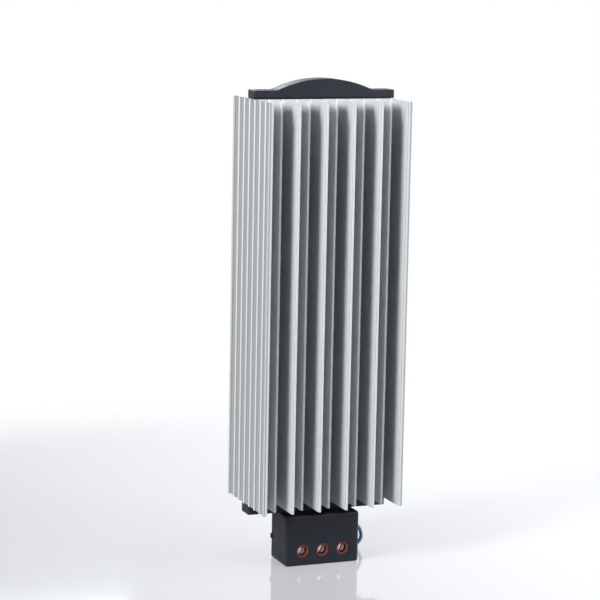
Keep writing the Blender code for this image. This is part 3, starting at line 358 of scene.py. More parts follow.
@dataclass(frozen=True)
class DrawnMetal(Finish):
    """An extruded or rolled metal with long fine lines, a fine etch and sawn ends.

    An extrusion may also have painted shade: a dark line where a groove runs along its fins,
    darker valleys between the ribs of its flanks, and darkening in its narrow hollows.
    """

    shade: Triple
    stretch: Triple = (1500.0, 1500.0, 6.0)
    spread: float = 0.05
    depth: float = 0.00002
    relief: float = 0.3
    metallic: float = 1.0
    etch_scale: float = 7000.0
    etch_mottle: float = 60.0
    etch_least: float = 0.7
    end_range: Pair = (0.9, 0.97)
    sawn: float = 0.10
    saw_pitch: float = 0.0005
    streak_height: float = 0.7
    etch_height: float = 0.3
    saw_height: float = 0.4
    groove: float = 0.0
    groove_level: float = 0.0
    groove_half: Pair = (0.00015, 0.00035)
    groove_limit: Pair = (0.0430, 0.0434)
    groove_tone: float = 0.3
    flank: float = 0.0
    flank_start: float = 0.0004
    flank_end: Pair = (0.0007, 0.0012)
    flank_tone: float = 1.0
    hollow: float = 0.0
    hollow_reach: float = 0.0007
    hollow_range: Pair = (0.50, 0.93)
    hollow_tone: float = 0.22
    hollow_samples: int = 6

    @staticmethod
    def _toned(colour: Triple, tone: float) -> Triple:
        """Return a colour made darker."""
        return tuple(channel * tone for channel in colour)

    def _marked(self, graph: Graph, place: Node, colour: Value) -> Value:
        """Add painted shade to a colour: the groove's line, the flanks' valleys and the hollows.

        Args:
            graph: The material's graph.
            place: A node that gives the Object coordinates one by one.
            colour: The colour of the clean metal.

        Returns:
            The colour with those of the marks that the finish has.
        """
        # Painted shade: a dark line along the groove of the fins, kept off the outer flanks.
        if self.groove:
            off = graph.math("ABSOLUTE", graph.math("SUBTRACT", place.outputs["Y"], self.groove_level))
            line = graph.spread(off, *self.groove_half, self.groove, 0.0)
            inner = graph.spread(graph.math("ABSOLUTE", place.outputs["X"]), *self.groove_limit, 1.0, 0.0)
            colour = graph.blend(graph.times(line, inner), colour,
                                 self._toned(self.shade, self.groove_tone))
        # Painted shade: the valleys between the ribs of the side walls are darkened.
        if self.flank:
            away = graph.math("ABSOLUTE", place.outputs["X"])
            outer = graph.spread(away, self.flank, self.flank + self.flank_start)
            first, last = (self.flank + step for step in self.flank_end)
            valley = graph.spread(away, first, last, 1.0, 0.0)
            colour = graph.blend(graph.times(outer, valley), colour,
                                 self._toned(self.colour, self.flank_tone))
        # Painted shade: ambient occlusion darkens the narrow hollows between the fins.
        if self.hollow:
            open_sky = graph.add("ShaderNodeAmbientOcclusion", {"Distance": self.hollow_reach},
                                 samples=self.hollow_samples, only_local=True).outputs["AO"]
            painted_shade = graph.spread(open_sky, *self.hollow_range, self.hollow, 0.0)
            colour = graph.blend(painted_shade, colour, self._toned(self.shade, self.hollow_tone))
        return colour

    def dress(self, graph: Graph, shader: Node, effects: Effects) -> None:
        """Join the drawn lines, the etch, the sawn ends and the painted shade marks to the shader."""
        shader.inputs["Metallic"].default_value = self.metallic
        streaks = self.group(graph, effects.streaks, Stretch=self.stretch)
        etch = self.group(graph, effects.grain, Scale=self.etch_scale, Mottle=self.etch_mottle)
        tone = graph.times(streaks.outputs["Tone"],
                          graph.spread(etch.outputs["Tone"], 0.0, 1.0, self.etch_least, 1.0))
        place = graph.add("ShaderNodeSeparateXYZ", {0: graph.places()})
        clean = graph.blend(tone, self.shade, self.colour)
        graph.put(shader.inputs["Base Color"], self._marked(graph, place, clean))
        upward = graph.add("ShaderNodeSeparateXYZ",
                           {0: graph.add("ShaderNodeNewGeometry").outputs["Normal"]}).outputs["Z"]
        end = graph.spread(graph.math("ABSOLUTE", upward), *self.end_range)
        self.shine(graph, shader, tone, self.spread, graph.times(end, self.sawn))
        saw = graph.math("SINE", graph.times(place.outputs["X"], math.tau / self.saw_pitch))
        saw = graph.times(graph.times(saw, end), self.saw_height)
        drawn = graph.times(streaks.outputs["Height"], self.streak_height)
        etched = graph.times(etch.outputs["Height"], self.etch_height)
        height = graph.math("ADD", graph.math("ADD", drawn, etched), saw)
        self.bump(graph, shader, height, self.relief, self.depth)


@dataclass(frozen=True)
class Plating(Finish):
    """A plated metal with a faint cloudiness, worn edges with a painted sheen and, where turned, rings
    and painted shade in the slot.
    """

    shade: Triple
    worn: Triple
    spread: float = 0.06
    grain: float = 3000.0
    mottle: float = 420.0
    depth: float = 0.00001
    relief: float = 0.3
    wear: float = 0.4
    edge: float = 0.0002
    breakup: float = 2200.0
    turned: bool = False
    grime: Triple = (0.020, 0.019, 0.018)
    grain_height: float = 0.4
    ring_height: float = 0.6

    def dress(self, graph: Graph, shader: Node, effects: Effects) -> None:
        """Join cloudiness, grain, edges, rings and the painted shade of a slot to the shader."""
        shader.inputs["Metallic"].default_value = 1.0
        grain = self.group(graph, effects.grain, Scale=self.grain, Mottle=self.mottle)
        rubbed_and_lit = self.group(graph, effects.wear, Radius=self.edge, Breakup=self.breakup).outputs["Mask"]
        colour = graph.blend(grain.outputs["Tone"], self.shade, self.colour)
        colour = graph.blend(graph.times(rubbed_and_lit, self.wear), colour, self.worn)
        if self.turned:
            # Painted shade: the slot's floor is coloured near black.
            painted_shade = graph.add("ShaderNodeAttribute", attribute_name="slot_shade").outputs["Fac"]
            colour = graph.blend(painted_shade, colour, self.grime)
        graph.put(shader.inputs["Base Color"], colour)
        self.shine(graph, shader, grain.outputs["Tone"], self.spread)
        height: Value = grain.outputs["Height"]
        if self.turned:
            rings = self.group(graph, effects.rings).outputs["Height"]
            height = graph.math("ADD", graph.times(height, self.grain_height),
                                graph.times(rings, self.ring_height))
        self.bump(graph, shader, height, self.relief, self.depth)


@dataclass(frozen=True)
class Ceramic(Finish):
    """A sintered ceramic with dark and pale specks and chipped edges."""

    speck: Triple
    worn: Triple
    spread: float = 0.1
    grain: float = 2600.0
    mottle: float = 300.0
    cells: float = 1800.0
    speck_range: Pair = (0.12, 0.3)
    edge: float = 0.0003
    wear: float = 0.7
    relief: float = 0.5
    depth: float = 0.00004

    def dress(self, graph: Graph, shader: Node, effects: Effects) -> None:
        """Join specks, pits and edges to the shader."""
        grain = self.group(graph, effects.grain, Scale=self.grain, Mottle=self.mottle)
        cells = graph.add("ShaderNodeTexVoronoi", {"Vector": graph.places(), "Scale": self.cells})
        specks = graph.spread(cells.outputs["Distance"], *self.speck_range, 1.0, 0.0)
        rubbed_and_lit = self.group(graph, effects.wear, Radius=self.edge).outputs["Mask"]
        colour = graph.blend(specks, self.colour, self.speck)
        colour = graph.blend(graph.times(rubbed_and_lit, self.wear), colour, self.worn)
        graph.put(shader.inputs["Base Color"], colour)
        self.shine(graph, shader, grain.outputs["Tone"], self.spread)
        self.bump(graph, shader, grain.outputs["Height"], self.relief, self.depth)


@dataclass(frozen=True)
class Film(Finish):
    """A wrapped insulating film, glossy, with faint creases."""

    shade: Triple
    spread: float = 0.05
    coat: float = 0.4
    coat_roughness: float = 0.15
    crease: float = 130.0
    mottle: float = 70.0
    stretch: Triple = (60.0, 60.0, 240.0)
    streak_height: float = 0.5
    relief: float = 0.4
    depth: float = 0.0002

    def dress(self, graph: Graph, shader: Node, effects: Effects) -> None:
        """Join creases and cloudiness to the shader."""
        shader.inputs["Coat Weight"].default_value = self.coat
        shader.inputs["Coat Roughness"].default_value = self.coat_roughness
        grain = self.group(graph, effects.grain, Scale=self.crease, Mottle=self.mottle)
        streaks = self.group(graph, effects.streaks, Stretch=self.stretch)
        graph.put(shader.inputs["Base Color"],
                  graph.blend(grain.outputs["Tone"], self.shade, self.colour))
        self.shine(graph, shader, streaks.outputs["Tone"], self.spread)
        height = graph.math("ADD", grain.outputs["Height"],
                            graph.times(streaks.outputs["Height"], self.streak_height))
        self.bump(graph, shader, height, self.relief, self.depth)


class Palette:
    """All the finishes of the heater, as materials by slot."""

    def __init__(self, effects: Effects) -> None:
        """Make every material."""
        black = (0.0082, 0.0100, 0.0180)
        finishes: dict[Slot, Finish] = {
            Slot.ANODISED: DrawnMetal("anodised_extrusion", (0.612, 0.636, 0.654), 0.70,
                                      (0.563, 0.586, 0.604), stretch=(1400.0, 1400.0, 1.2),
                                      relief=0.06, spread=0.02, metallic=0.75, flank=0.0437,
                                      flank_tone=0.50, hollow=0.8, groove=0.6, groove_level=-0.0371),
            Slot.BLACK: Moulding("black_moulding", black, 0.44, (0.0077, 0.0092, 0.0155),
                                 (0.027, 0.030, 0.041), specular=0.32),
            # Red collars: the dark base is painted shade in the bores, and the pale edge colour, at full
            # share, is a painted highlight on the rims.
            Slot.RED: Moulding("red_moulding", (0.120, 0.024, 0.021), 0.40, (0.100, 0.019, 0.017),
                               (0.44, 0.115, 0.100), wear=1.0, edge=0.0004, specular=0.35),
            Slot.SILICONE: Moulding("silicone_plug", (0.55, 0.16, 0.10), 0.62, (0.48, 0.13, 0.08),
                                    (0.60, 0.24, 0.17), grain=2400.0, wear=0.3),
            Slot.ZINC: Plating("zinc_plated_screw", (0.66, 0.68, 0.70), 0.30, (0.60, 0.60, 0.57),
                               (0.80, 0.81, 0.82), turned=True),
            Slot.BRIGHT: Plating("bright_screw", (0.93, 0.92, 0.90), 0.40, (0.88, 0.87, 0.84),
                                 (0.96, 0.95, 0.94), turned=True),
            Slot.BRASS: Plating("nickelled_brass", (0.68, 0.62, 0.49), 0.32, (0.60, 0.52, 0.38),
                                (0.78, 0.70, 0.52)),
            Slot.FILM: Film("amber_film", (0.60, 0.33, 0.07), 0.30, (0.50, 0.25, 0.05)),
            Slot.ELECTRODE: DrawnMetal("mill_aluminium", (0.78, 0.79, 0.80), 0.30, (0.68, 0.69, 0.71)),
            Slot.CERAMIC: Ceramic("heating_stone", (0.30, 0.29, 0.28), 0.62, (0.16, 0.155, 0.15),
                                  (0.42, 0.41, 0.40)),
            Slot.FRAME: Moulding("pale_frame_moulding", (0.74, 0.71, 0.64), 0.48, (0.68, 0.65, 0.58),
                                 (0.80, 0.78, 0.72), grain=3600.0),
            Slot.BLUE: Moulding("blue_insulation", (0.085, 0.185, 0.360), 0.40, (0.070, 0.155, 0.310),
                                (0.16, 0.21, 0.29), grain=2600.0, mottle=260.0, wear=0.0),
            Slot.DARK: Moulding("black_insulation", (0.026, 0.026, 0.028), 0.42, (0.020, 0.020, 0.022),
                                (0.06, 0.06, 0.06), grain=2600.0, mottle=260.0, wear=0.0),
            Slot.SHEET: Plating("zinc_plated_sheet", (0.60, 0.64, 0.69), 0.34, (0.52, 0.55, 0.58),
                                (0.76, 0.77, 0.78), mottle=240.0),
            Slot.SPRING: Plating("spring_steel", (0.50, 0.51, 0.53), 0.28, (0.43, 0.43, 0.44),
                                 (0.66, 0.66, 0.67), mottle=180.0),
        }
        self.materials = {slot: finish.make(effects) for slot, finish in finishes.items()}


# Modelling


class Bench:
    """Ways of modelling that every sub-assembly uses."""

    @staticmethod
    def clear_selection() -> None:
        """Leave edit mode and deselect everything."""
        if bpy.context.object and bpy.context.object.mode != "OBJECT":
            bpy.ops.object.mode_set(mode="OBJECT")
        bpy.ops.object.select_all(action="DESELECT")

    @staticmethod
    def pick(piece: Piece) -> None:
        """Select one piece alone and make it active."""
        Bench.clear_selection()
        piece.select_set(True)
        bpy.context.view_layer.objects.active = piece

    @staticmethod
    def edit(piece: Piece) -> None:
        """Open a piece in edit mode with nothing selected."""
        Bench.pick(piece)
        bpy.ops.object.mode_set(mode="EDIT")
        bpy.ops.mesh.select_all(action="DESELECT")

    @staticmethod
    def leave() -> None:
        """Go back to object mode."""
        bpy.ops.object.mode_set(mode="OBJECT")

    @staticmethod
    def pick_parts(piece: Piece, kind: str, test: FaceTest | EdgeTest) -> None:
        """Select, in edit mode, the faces or edges of a piece that pass a test.

        Args:
            piece: The piece that is open in edit mode.
            kind: FACE or EDGE.
            test: Says of a face or edge whether it is wanted.
        """
        bpy.ops.mesh.select_mode(type=kind)
        bpy.ops.mesh.select_all(action="DESELECT")
        shape = bmesh.from_edit_mesh(piece.data)
        parts = shape.faces if kind == "FACE" else shape.edges
        for part in [part for part in parts if test(part)]:
            part.select_set(True)
        bmesh.update_edit_mesh(piece.data)

    @staticmethod
    def apply(piece: Piece, kind: str, **settings: object) -> None:
        """Add a modifier to a piece and apply it.

        Args:
            piece: The piece to change.
            kind: The modifier's type.
            **settings: The modifier's properties.
        """
        Bench.pick(piece)
        change = piece.modifiers.new(kind.lower(), kind)
        for name, setting in settings.items():
            setattr(change, name, setting)
        bpy.ops.object.modifier_apply(modifier=change.name)

    @staticmethod
    def soften(piece: Piece, width: float, segments: int = 2, angle: float = 40.0) -> None:
        """Round the sharp edges of a piece a little."""
        Bench.apply(piece, "BEVEL", width=width, segments=segments, limit_method="ANGLE",
                    angle_limit=math.radians(angle), use_clamp_overlap=True, miter_outer="MITER_ARC")

    @staticmethod
    def smooth(piece: Piece, angle: float = 35.0) -> None:
        """Shade a piece smooth apart from its sharp edges."""
        Bench.pick(piece)
        bpy.ops.object.shade_smooth_by_angle(angle=math.radians(angle))

    @staticmethod
    def join(piece: Piece, flat: float = 0.0) -> None:
        """Join a piece's loose faces, and those that are flat to within some degrees."""
        Bench.edit(piece)
        bpy.ops.mesh.select_all(action="SELECT")
        bpy.ops.mesh.remove_doubles(threshold=SAME_PLACE)
        if flat:
            bpy.ops.mesh.dissolve_limited(angle_limit=math.radians(flat))
            bpy.ops.mesh.select_all(action="SELECT")
        bpy.ops.mesh.normals_make_consistent(inside=False)
        Bench.leave()

    @staticmethod
    def copy_node(node: str, flat: float = 0.4) -> Piece:
        """Copy a CAD node as one joined mesh with its flat faces whole.

        Args:
            node: The CAD node's name.
            flat: The angle in degrees up to which faces count as one flat face.

        Returns:
            The new piece, in the node's place.
        """
        piece = bpy.data.objects.new(f"{node}_finished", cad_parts[node].data.copy())
        bpy.context.scene.collection.objects.link(piece)
        Bench.pick(piece)
        bpy.ops.mesh.customdata_custom_splitnormals_clear()
        Bench.join(piece, flat)
        return piece

    @staticmethod
    def cut(piece: Piece, tool: Piece) -> None:
        """Cut a tool's shape from a piece and delete the tool."""
        Bench.apply(piece, "BOOLEAN", operation="DIFFERENCE", solver="EXACT", object=tool)
        bpy.data.objects.remove(tool, do_unlink=True)

    @staticmethod
    def settle() -> None:
        """Put the place, turn and scale of what is selected into its mesh."""
        bpy.ops.object.transform_apply(location=True, rotation=True, scale=True)

    @staticmethod
    def seat(piece: Piece, where: Matrix) -> None:
        """Put a piece in its place, with the place in its mesh."""
        Bench.pick(piece)
        piece.matrix_world = where
        Bench.settle()


class Workshop:
    """Finished pieces, tied to the CAD frame and counted."""

    def __init__(self, palette: Palette) -> None:
        """Take the materials."""
        self.palette = palette
        self.pieces: list[Piece] = []

    def deliver(self, piece: Piece, slot: Slot, *nodes: str) -> None:
        """Give a piece its material and its place in the frame.

        Args:
            piece: The finished piece.
            slot: The slot of the record that it takes its finish from.
            *nodes: The CAD nodes that it stands for.
        """
        piece.data.materials.clear()
        piece.data.materials.append(self.palette.materials[slot])
        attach(piece, BODY)
        if nodes:
            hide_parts(*nodes)
        self.pieces.append(piece)
        log.info("%s: %d faces", piece.name, len(piece.data.polygons))

    def refine(self, node: str, slot: Slot, width: float = 0.0, segments: int = 2,
               angle: float = 40.0) -> None:
        """Deliver a joined copy of a CAD node with softened edges.

        Args:
            node: The CAD node's name.
            slot: Its material slot.
            width: How far its sharp edges are rounded, or 0 for not at all.
            segments: Facets of each rounding.
            angle: The angle in degrees from which an edge is sharp.
        """
        piece = Bench.copy_node(node)
        if width:
            Bench.soften(piece, width, segments, angle)
        Bench.smooth(piece)
        if width:
            Bench.apply(piece, "WEIGHTED_NORMAL", keep_sharp=True)
        self.deliver(piece, slot, node)


# Sub-assemblies


@dataclass(frozen=True)
class ScrewSize:
    """The sizes of a screw, and the form of its head."""

    head: float
    head_height: float
    shank: float
    length: float
    form: HeadForm = HeadForm.PAN


@dataclass
class Screw:
    """One slotted screw, modelled upright on its seat and then set in place."""

    node: str
    slot: Slot
    seat: Triple
    direction: Triple
    size: ScrewSize
    lean: float = 0.0
    sides: int = 40
    slot_width: float = 0.0009
    slot_depth: float = 0.0010
    crown: float = 0.3
    crown_segments: int = 4
    softness: float = 0.00006
    soft_angle: float = 45.0
    smooth_angle: float = 38.0
    thread: float = 0.0007
    root: float = 0.84
    tip: float = 0.8
    dirt_reach: float = 1.5
    downward: float = -0.99

    def _blank(self) -> Piece:
        """Return the turned blank of the head, with a rounded crown if it is a pan head."""
        Bench.clear_selection()
        size = self.size
        if size.form is HeadForm.COUNTERSUNK:
            bpy.ops.mesh.primitive_cone_add(vertices=self.sides, radius1=size.shank / 2,
                                            radius2=size.head / 2, depth=size.head_height,
                                            location=(0, 0, -size.head_height / 2))
            Bench.settle()
            return bpy.context.object
        bpy.ops.mesh.primitive_cylinder_add(vertices=self.sides, radius=size.head / 2,
                                            depth=size.head_height, location=(0, 0, size.head_height / 2))
        Bench.settle()
        piece = bpy.context.object
        rim = size.head_height - SAME_PLACE
        Bench.edit(piece)
        Bench.pick_parts(piece, "EDGE", lambda edge: min(vert.co.z for vert in edge.verts) > rim)
        bpy.ops.mesh.bevel(offset=size.head_height * self.crown, segments=self.crown_segments,
                           affect="EDGES")
        Bench.leave()
        return piece

    def _head(self) -> Piece:
        """Return the head alone, with its slot and its softened edges."""
        piece = self._blank()
        top = max(vert.co.z for vert in piece.data.vertices)
        Bench.clear_selection()
        bpy.ops.mesh.primitive_cube_add(size=1.0)
        tool = bpy.context.object
        tool.scale = (self.slot_width, 2 * self.size.head, 2 * self.slot_depth)
        tool.location = (0, 0, top)
        tool.rotation_euler = (0, 0, math.radians(self.lean))
        Bench.pick(tool)
        Bench.settle()
        Bench.cut(piece, tool)
        Bench.soften(piece, self.softness, 2, self.soft_angle)
        return piece

    def _thread(self, piece: Piece) -> None:
        """Grow the threaded shank down from the underside of the head."""
        size = self.size
        low = min(vert.co.z for vert in piece.data.vertices)

        def is_underside(face: bmesh.types.BMFace) -> bool:
            """Say whether a face is the flat underside of the head."""
            return face.normal.z < self.downward and face.calc_center_median().z < low + SAME_PLACE

        Bench.edit(piece)
        Bench.pick_parts(piece, "FACE", is_underside)
        ends = low - size.length
        if size.form is HeadForm.PAN:
            bpy.ops.mesh.inset(thickness=size.head / 2 - self.softness - size.shank / 2)
        else:
            ends += size.head_height
        half = self.thread / 2
        level = low
        factors = cycle((self.root, 1 / self.root))
        while level - half > ends:
            level -= half
            factor = next(factors)
            bpy.ops.mesh.extrude_region_move(TRANSFORM_OT_translate={"value": (0, 0, -half)})
            bpy.ops.transform.resize(value=(factor, factor, 1), center_override=(0, 0, level))
        bpy.ops.mesh.extrude_region_move(TRANSFORM_OT_translate={"value": (0, 0, ends - level)})
        bpy.ops.transform.resize(value=(self.tip, self.tip, 1), center_override=(0, 0, ends))
        Bench.leave()

    def _note(self, piece: Piece) -> None:
        """Note each point's turning radius and which points take painted shade at the slot's floor, for
        the finish.
        """
        points = piece.data.vertices
        rings = piece.data.attributes.new("turning", "FLOAT", "POINT")
        rings.data.foreach_set("value", [vert.co.xy.length for vert in points])
        # Points near the slot's floor are marked for painted shade.
        floor = max(vert.co.z for vert in points) - self.slot_depth
        reach = self.dirt_reach * self.softness
        painted_shade = piece.data.attributes.new("slot_shade", "FLOAT", "POINT")
        painted_shade.data.foreach_set("value", [float(abs(vert.co.z - floor) < reach) for vert in points])

    def build(self, workshop: Workshop) -> None:
        """Model the screw, set it in its seat and deliver it."""
        piece = self._head()
        self._thread(piece)
        piece.name = f"{self.node}_finished"
        self._note(piece)
        turn = Vector((0, 0, 1)).rotation_difference(Vector(self.direction)).to_matrix().to_4x4()
        Bench.seat(piece, Matrix.Translation(self.seat) @ turn)
        Bench.smooth(piece, self.smooth_angle)
        workshop.deliver(piece, self.slot, self.node)


@dataclass
class HeatSink:
    """The extruded body of the heater."""

    node: str = "heat_sink"

    def build(self, workshop: Workshop) -> None:
        """Deliver the extrusion as one smooth-shaded copy of its solid."""
        workshop.refine(self.node, Slot.ANODISED)


@dataclass
class Caps:
    """The two end caps of the core, with their screws and seals."""

    port_x: float = 0.0386
    mid_y: float = -0.0054
    top_seat: float = 0.2871
    bottom_seat: float = 0.0321
    edge: float = 0.0003
    edge_segments: int = 3
    seal_edge: float = 0.0004
    screw: ScrewSize = ScrewSize(head=0.0062, head_height=0.0018, shank=0.0032, length=0.0160,
                                 form=HeadForm.COUNTERSUNK)

    def build(self, workshop: Workshop) -> None:
        """Deliver both caps, both seals and the four screws."""
        for node in ("top_cap", "bottom_cap"):
            workshop.refine(node, Slot.BLACK, self.edge, self.edge_segments)
        for node in ("top_seal", "bottom_seal"):
            workshop.refine(node, Slot.SILICONE, self.seal_edge)
        for side, name in ((-1, "left"), (1, "right")):
            x = side * self.port_x
            for cap, seat, facing in (("top", self.top_seat, 1), ("bottom", self.bottom_seat, -1)):
                Screw(f"{cap}_cap_screw_{name}", Slot.ZINC, (x, self.mid_y, seat),
                      (0, 0, facing), self.screw).build(workshop)


@dataclass
class Numeral:
    """A plain raised number moulded on the front of the terminal housing."""

    figure: int
    x: float
    level: float
    front: float
    size: float = 0.0030
    proud: float = 0.00012
    edge: float = 0.00003
    curve_steps: int = 6

    def build(self, workshop: Workshop) -> None:
        """Model the number as text, turn it into a mesh and set it on the face."""
        Bench.clear_selection()
        bpy.ops.object.text_add()
        text = bpy.context.object
        text.data.body = str(self.figure)
        text.data.align_x = "CENTER"
        text.data.align_y = "CENTER"
        text.data.size = self.size
        text.data.extrude = self.proud
        text.data.bevel_depth = self.edge
        text.data.resolution_u = self.curve_steps
        bpy.ops.object.convert(target="MESH")
        piece = bpy.context.object
        piece.name = f"terminal_number_{self.figure}"
        upright = Matrix.Rotation(math.radians(90), 4, "X")
        Bench.seat(piece, Matrix.Translation((self.x, self.front, self.level)) @ upright)
        Bench.join(piece)
        Bench.smooth(piece)
        workshop.deliver(piece, Slot.BLACK)


@dataclass
class TerminalHousing:
    """The moulded housing with its terminals, cover, leads and earth strip."""

    front: float = -0.0215
    pole_pitch: float = 0.0130
    pole_level: float = 0.0092
    recess: float = 0.0026
    terminal_screw: ScrewSize = ScrewSize(head=0.0055, head_height=0.0019, shank=0.0030, length=0.0074)
    terminal_sides: int = 56
    slot_lean: float = -22.0
    number_level: float = 0.0187
    screw_offset: float = 0.0090
    mid_y: float = -0.0054
    screw_seat: float = 0.0294
    housing_screw: ScrewSize = ScrewSize(head=0.0062, head_height=0.0018, shank=0.0032, length=0.0090)
    earth_seat: Triple = (0.0, 0.0023, 0.0451)
    earth_screw: ScrewSize = ScrewSize(head=0.0056, head_height=0.0020, shank=0.0032, length=0.0030)
    edge: float = 0.0002
    fine_edge: float = 0.00015
    sharp: float = 60.0

    def build(self, workshop: Workshop) -> None:
        """Deliver the housing and all that is in it."""
        workshop.refine("terminal_housing", Slot.BLACK, self.fine_edge, angle=self.sharp)
        workshop.refine("housing_back", Slot.BLACK, self.edge)
        workshop.refine("terminal_insulator", Slot.RED, self.edge, angle=self.sharp)
        seat_y = self.front + self.recess + self.terminal_screw.head_height
        for index in (1, 2, 3):
            x = (index - 2) * self.pole_pitch
            workshop.refine(f"terminal_cage_{index}", Slot.BRASS, self.edge)
            Screw(f"terminal_screw_{index}", Slot.BRIGHT, (x, seat_y, self.pole_level), (0, -1, 0),
                  self.terminal_screw, self.slot_lean, self.terminal_sides).build(workshop)
            Numeral(index, x, self.number_level, self.front).build(workshop)
        for side, name in ((-1, "left"), (1, "right")):
            Screw(f"housing_screw_{name}", Slot.ZINC,
                  (side * self.screw_offset, self.mid_y, self.screw_seat), (0, 0, -1),
                  self.housing_screw).build(workshop)
        workshop.refine("lead_neutral", Slot.BLUE)
        workshop.refine("lead_live", Slot.DARK)
        workshop.refine("earth_strip", Slot.BRASS, self.fine_edge)
        Screw("earth_screw", Slot.ZINC, self.earth_seat, (0, 1, 0), self.earth_screw).build(workshop)


@dataclass
class HeatingPack:
    """The sleeve, electrodes, stones and frame inside the core."""

    stones: int = 8
    edge: float = 0.0002
    stone_edge: float = 0.0004

    def build(self, workshop: Workshop) -> None:
        """Deliver the pack."""
        workshop.refine("insulation_sleeve", Slot.FILM, self.edge)
        for node in ("electrode_front", "electrode_back"):
            workshop.refine(node, Slot.ELECTRODE, self.edge)
        workshop.refine("stone_frame", Slot.FRAME, self.edge)
        for number in range(1, self.stones + 1):
            workshop.refine(f"ptc_stone_{number}", Slot.CERAMIC, self.stone_edge)


@dataclass
class RailClip:
    """The clip on the back, with its spring, slider and screws."""

    seat_y: float = 0.0278
    middle: float = 0.1721
    spacing: float = 0.0200
    screw: ScrewSize = ScrewSize(head=0.0068, head_height=0.0022, shank=0.0036, length=0.0056)
    edge: float = 0.0002
    clip_edge: float = 0.00025

    def build(self, workshop: Workshop) -> None:
        """Deliver the clip."""
        workshop.refine("din_clip", Slot.SHEET, self.clip_edge)
        workshop.refine("clip_spring", Slot.SPRING, self.edge)
        workshop.refine("clip_slider", Slot.ZINC, self.edge)
        for side, name in ((-1, "lower"), (1, "upper")):
            Screw(f"clip_screw_{name}", Slot.ZINC,
                  (0.0, self.seat_y, self.middle + side * self.spacing / 2), (0, 1, 0),
                  self.screw).build(workshop)


# Studio


@dataclass
class SoftLight:
    """A rectangular soft light aimed at a point."""

    name: str
    place: Triple
    target: Triple
    size: Pair
    power: float
    colour: Triple = (1.0, 1.0, 1.0)

    def build(self) -> None:
        """Hang the light."""
        lamp = bpy.data.lights.new(self.name, "AREA")
        lamp.shape = "RECTANGLE"
        lamp.size, lamp.size_y = self.size
        lamp.energy = self.power
        lamp.color = self.colour
        holder = bpy.data.objects.new(self.name, lamp)
        bpy.context.scene.collection.objects.link(holder)
        way = Vector(self.target) - Vector(self.place)
        turn = way.to_track_quat("-Z", "Y").to_matrix().to_4x4()
        holder.matrix_world = Matrix.Translation(self.place) @ turn


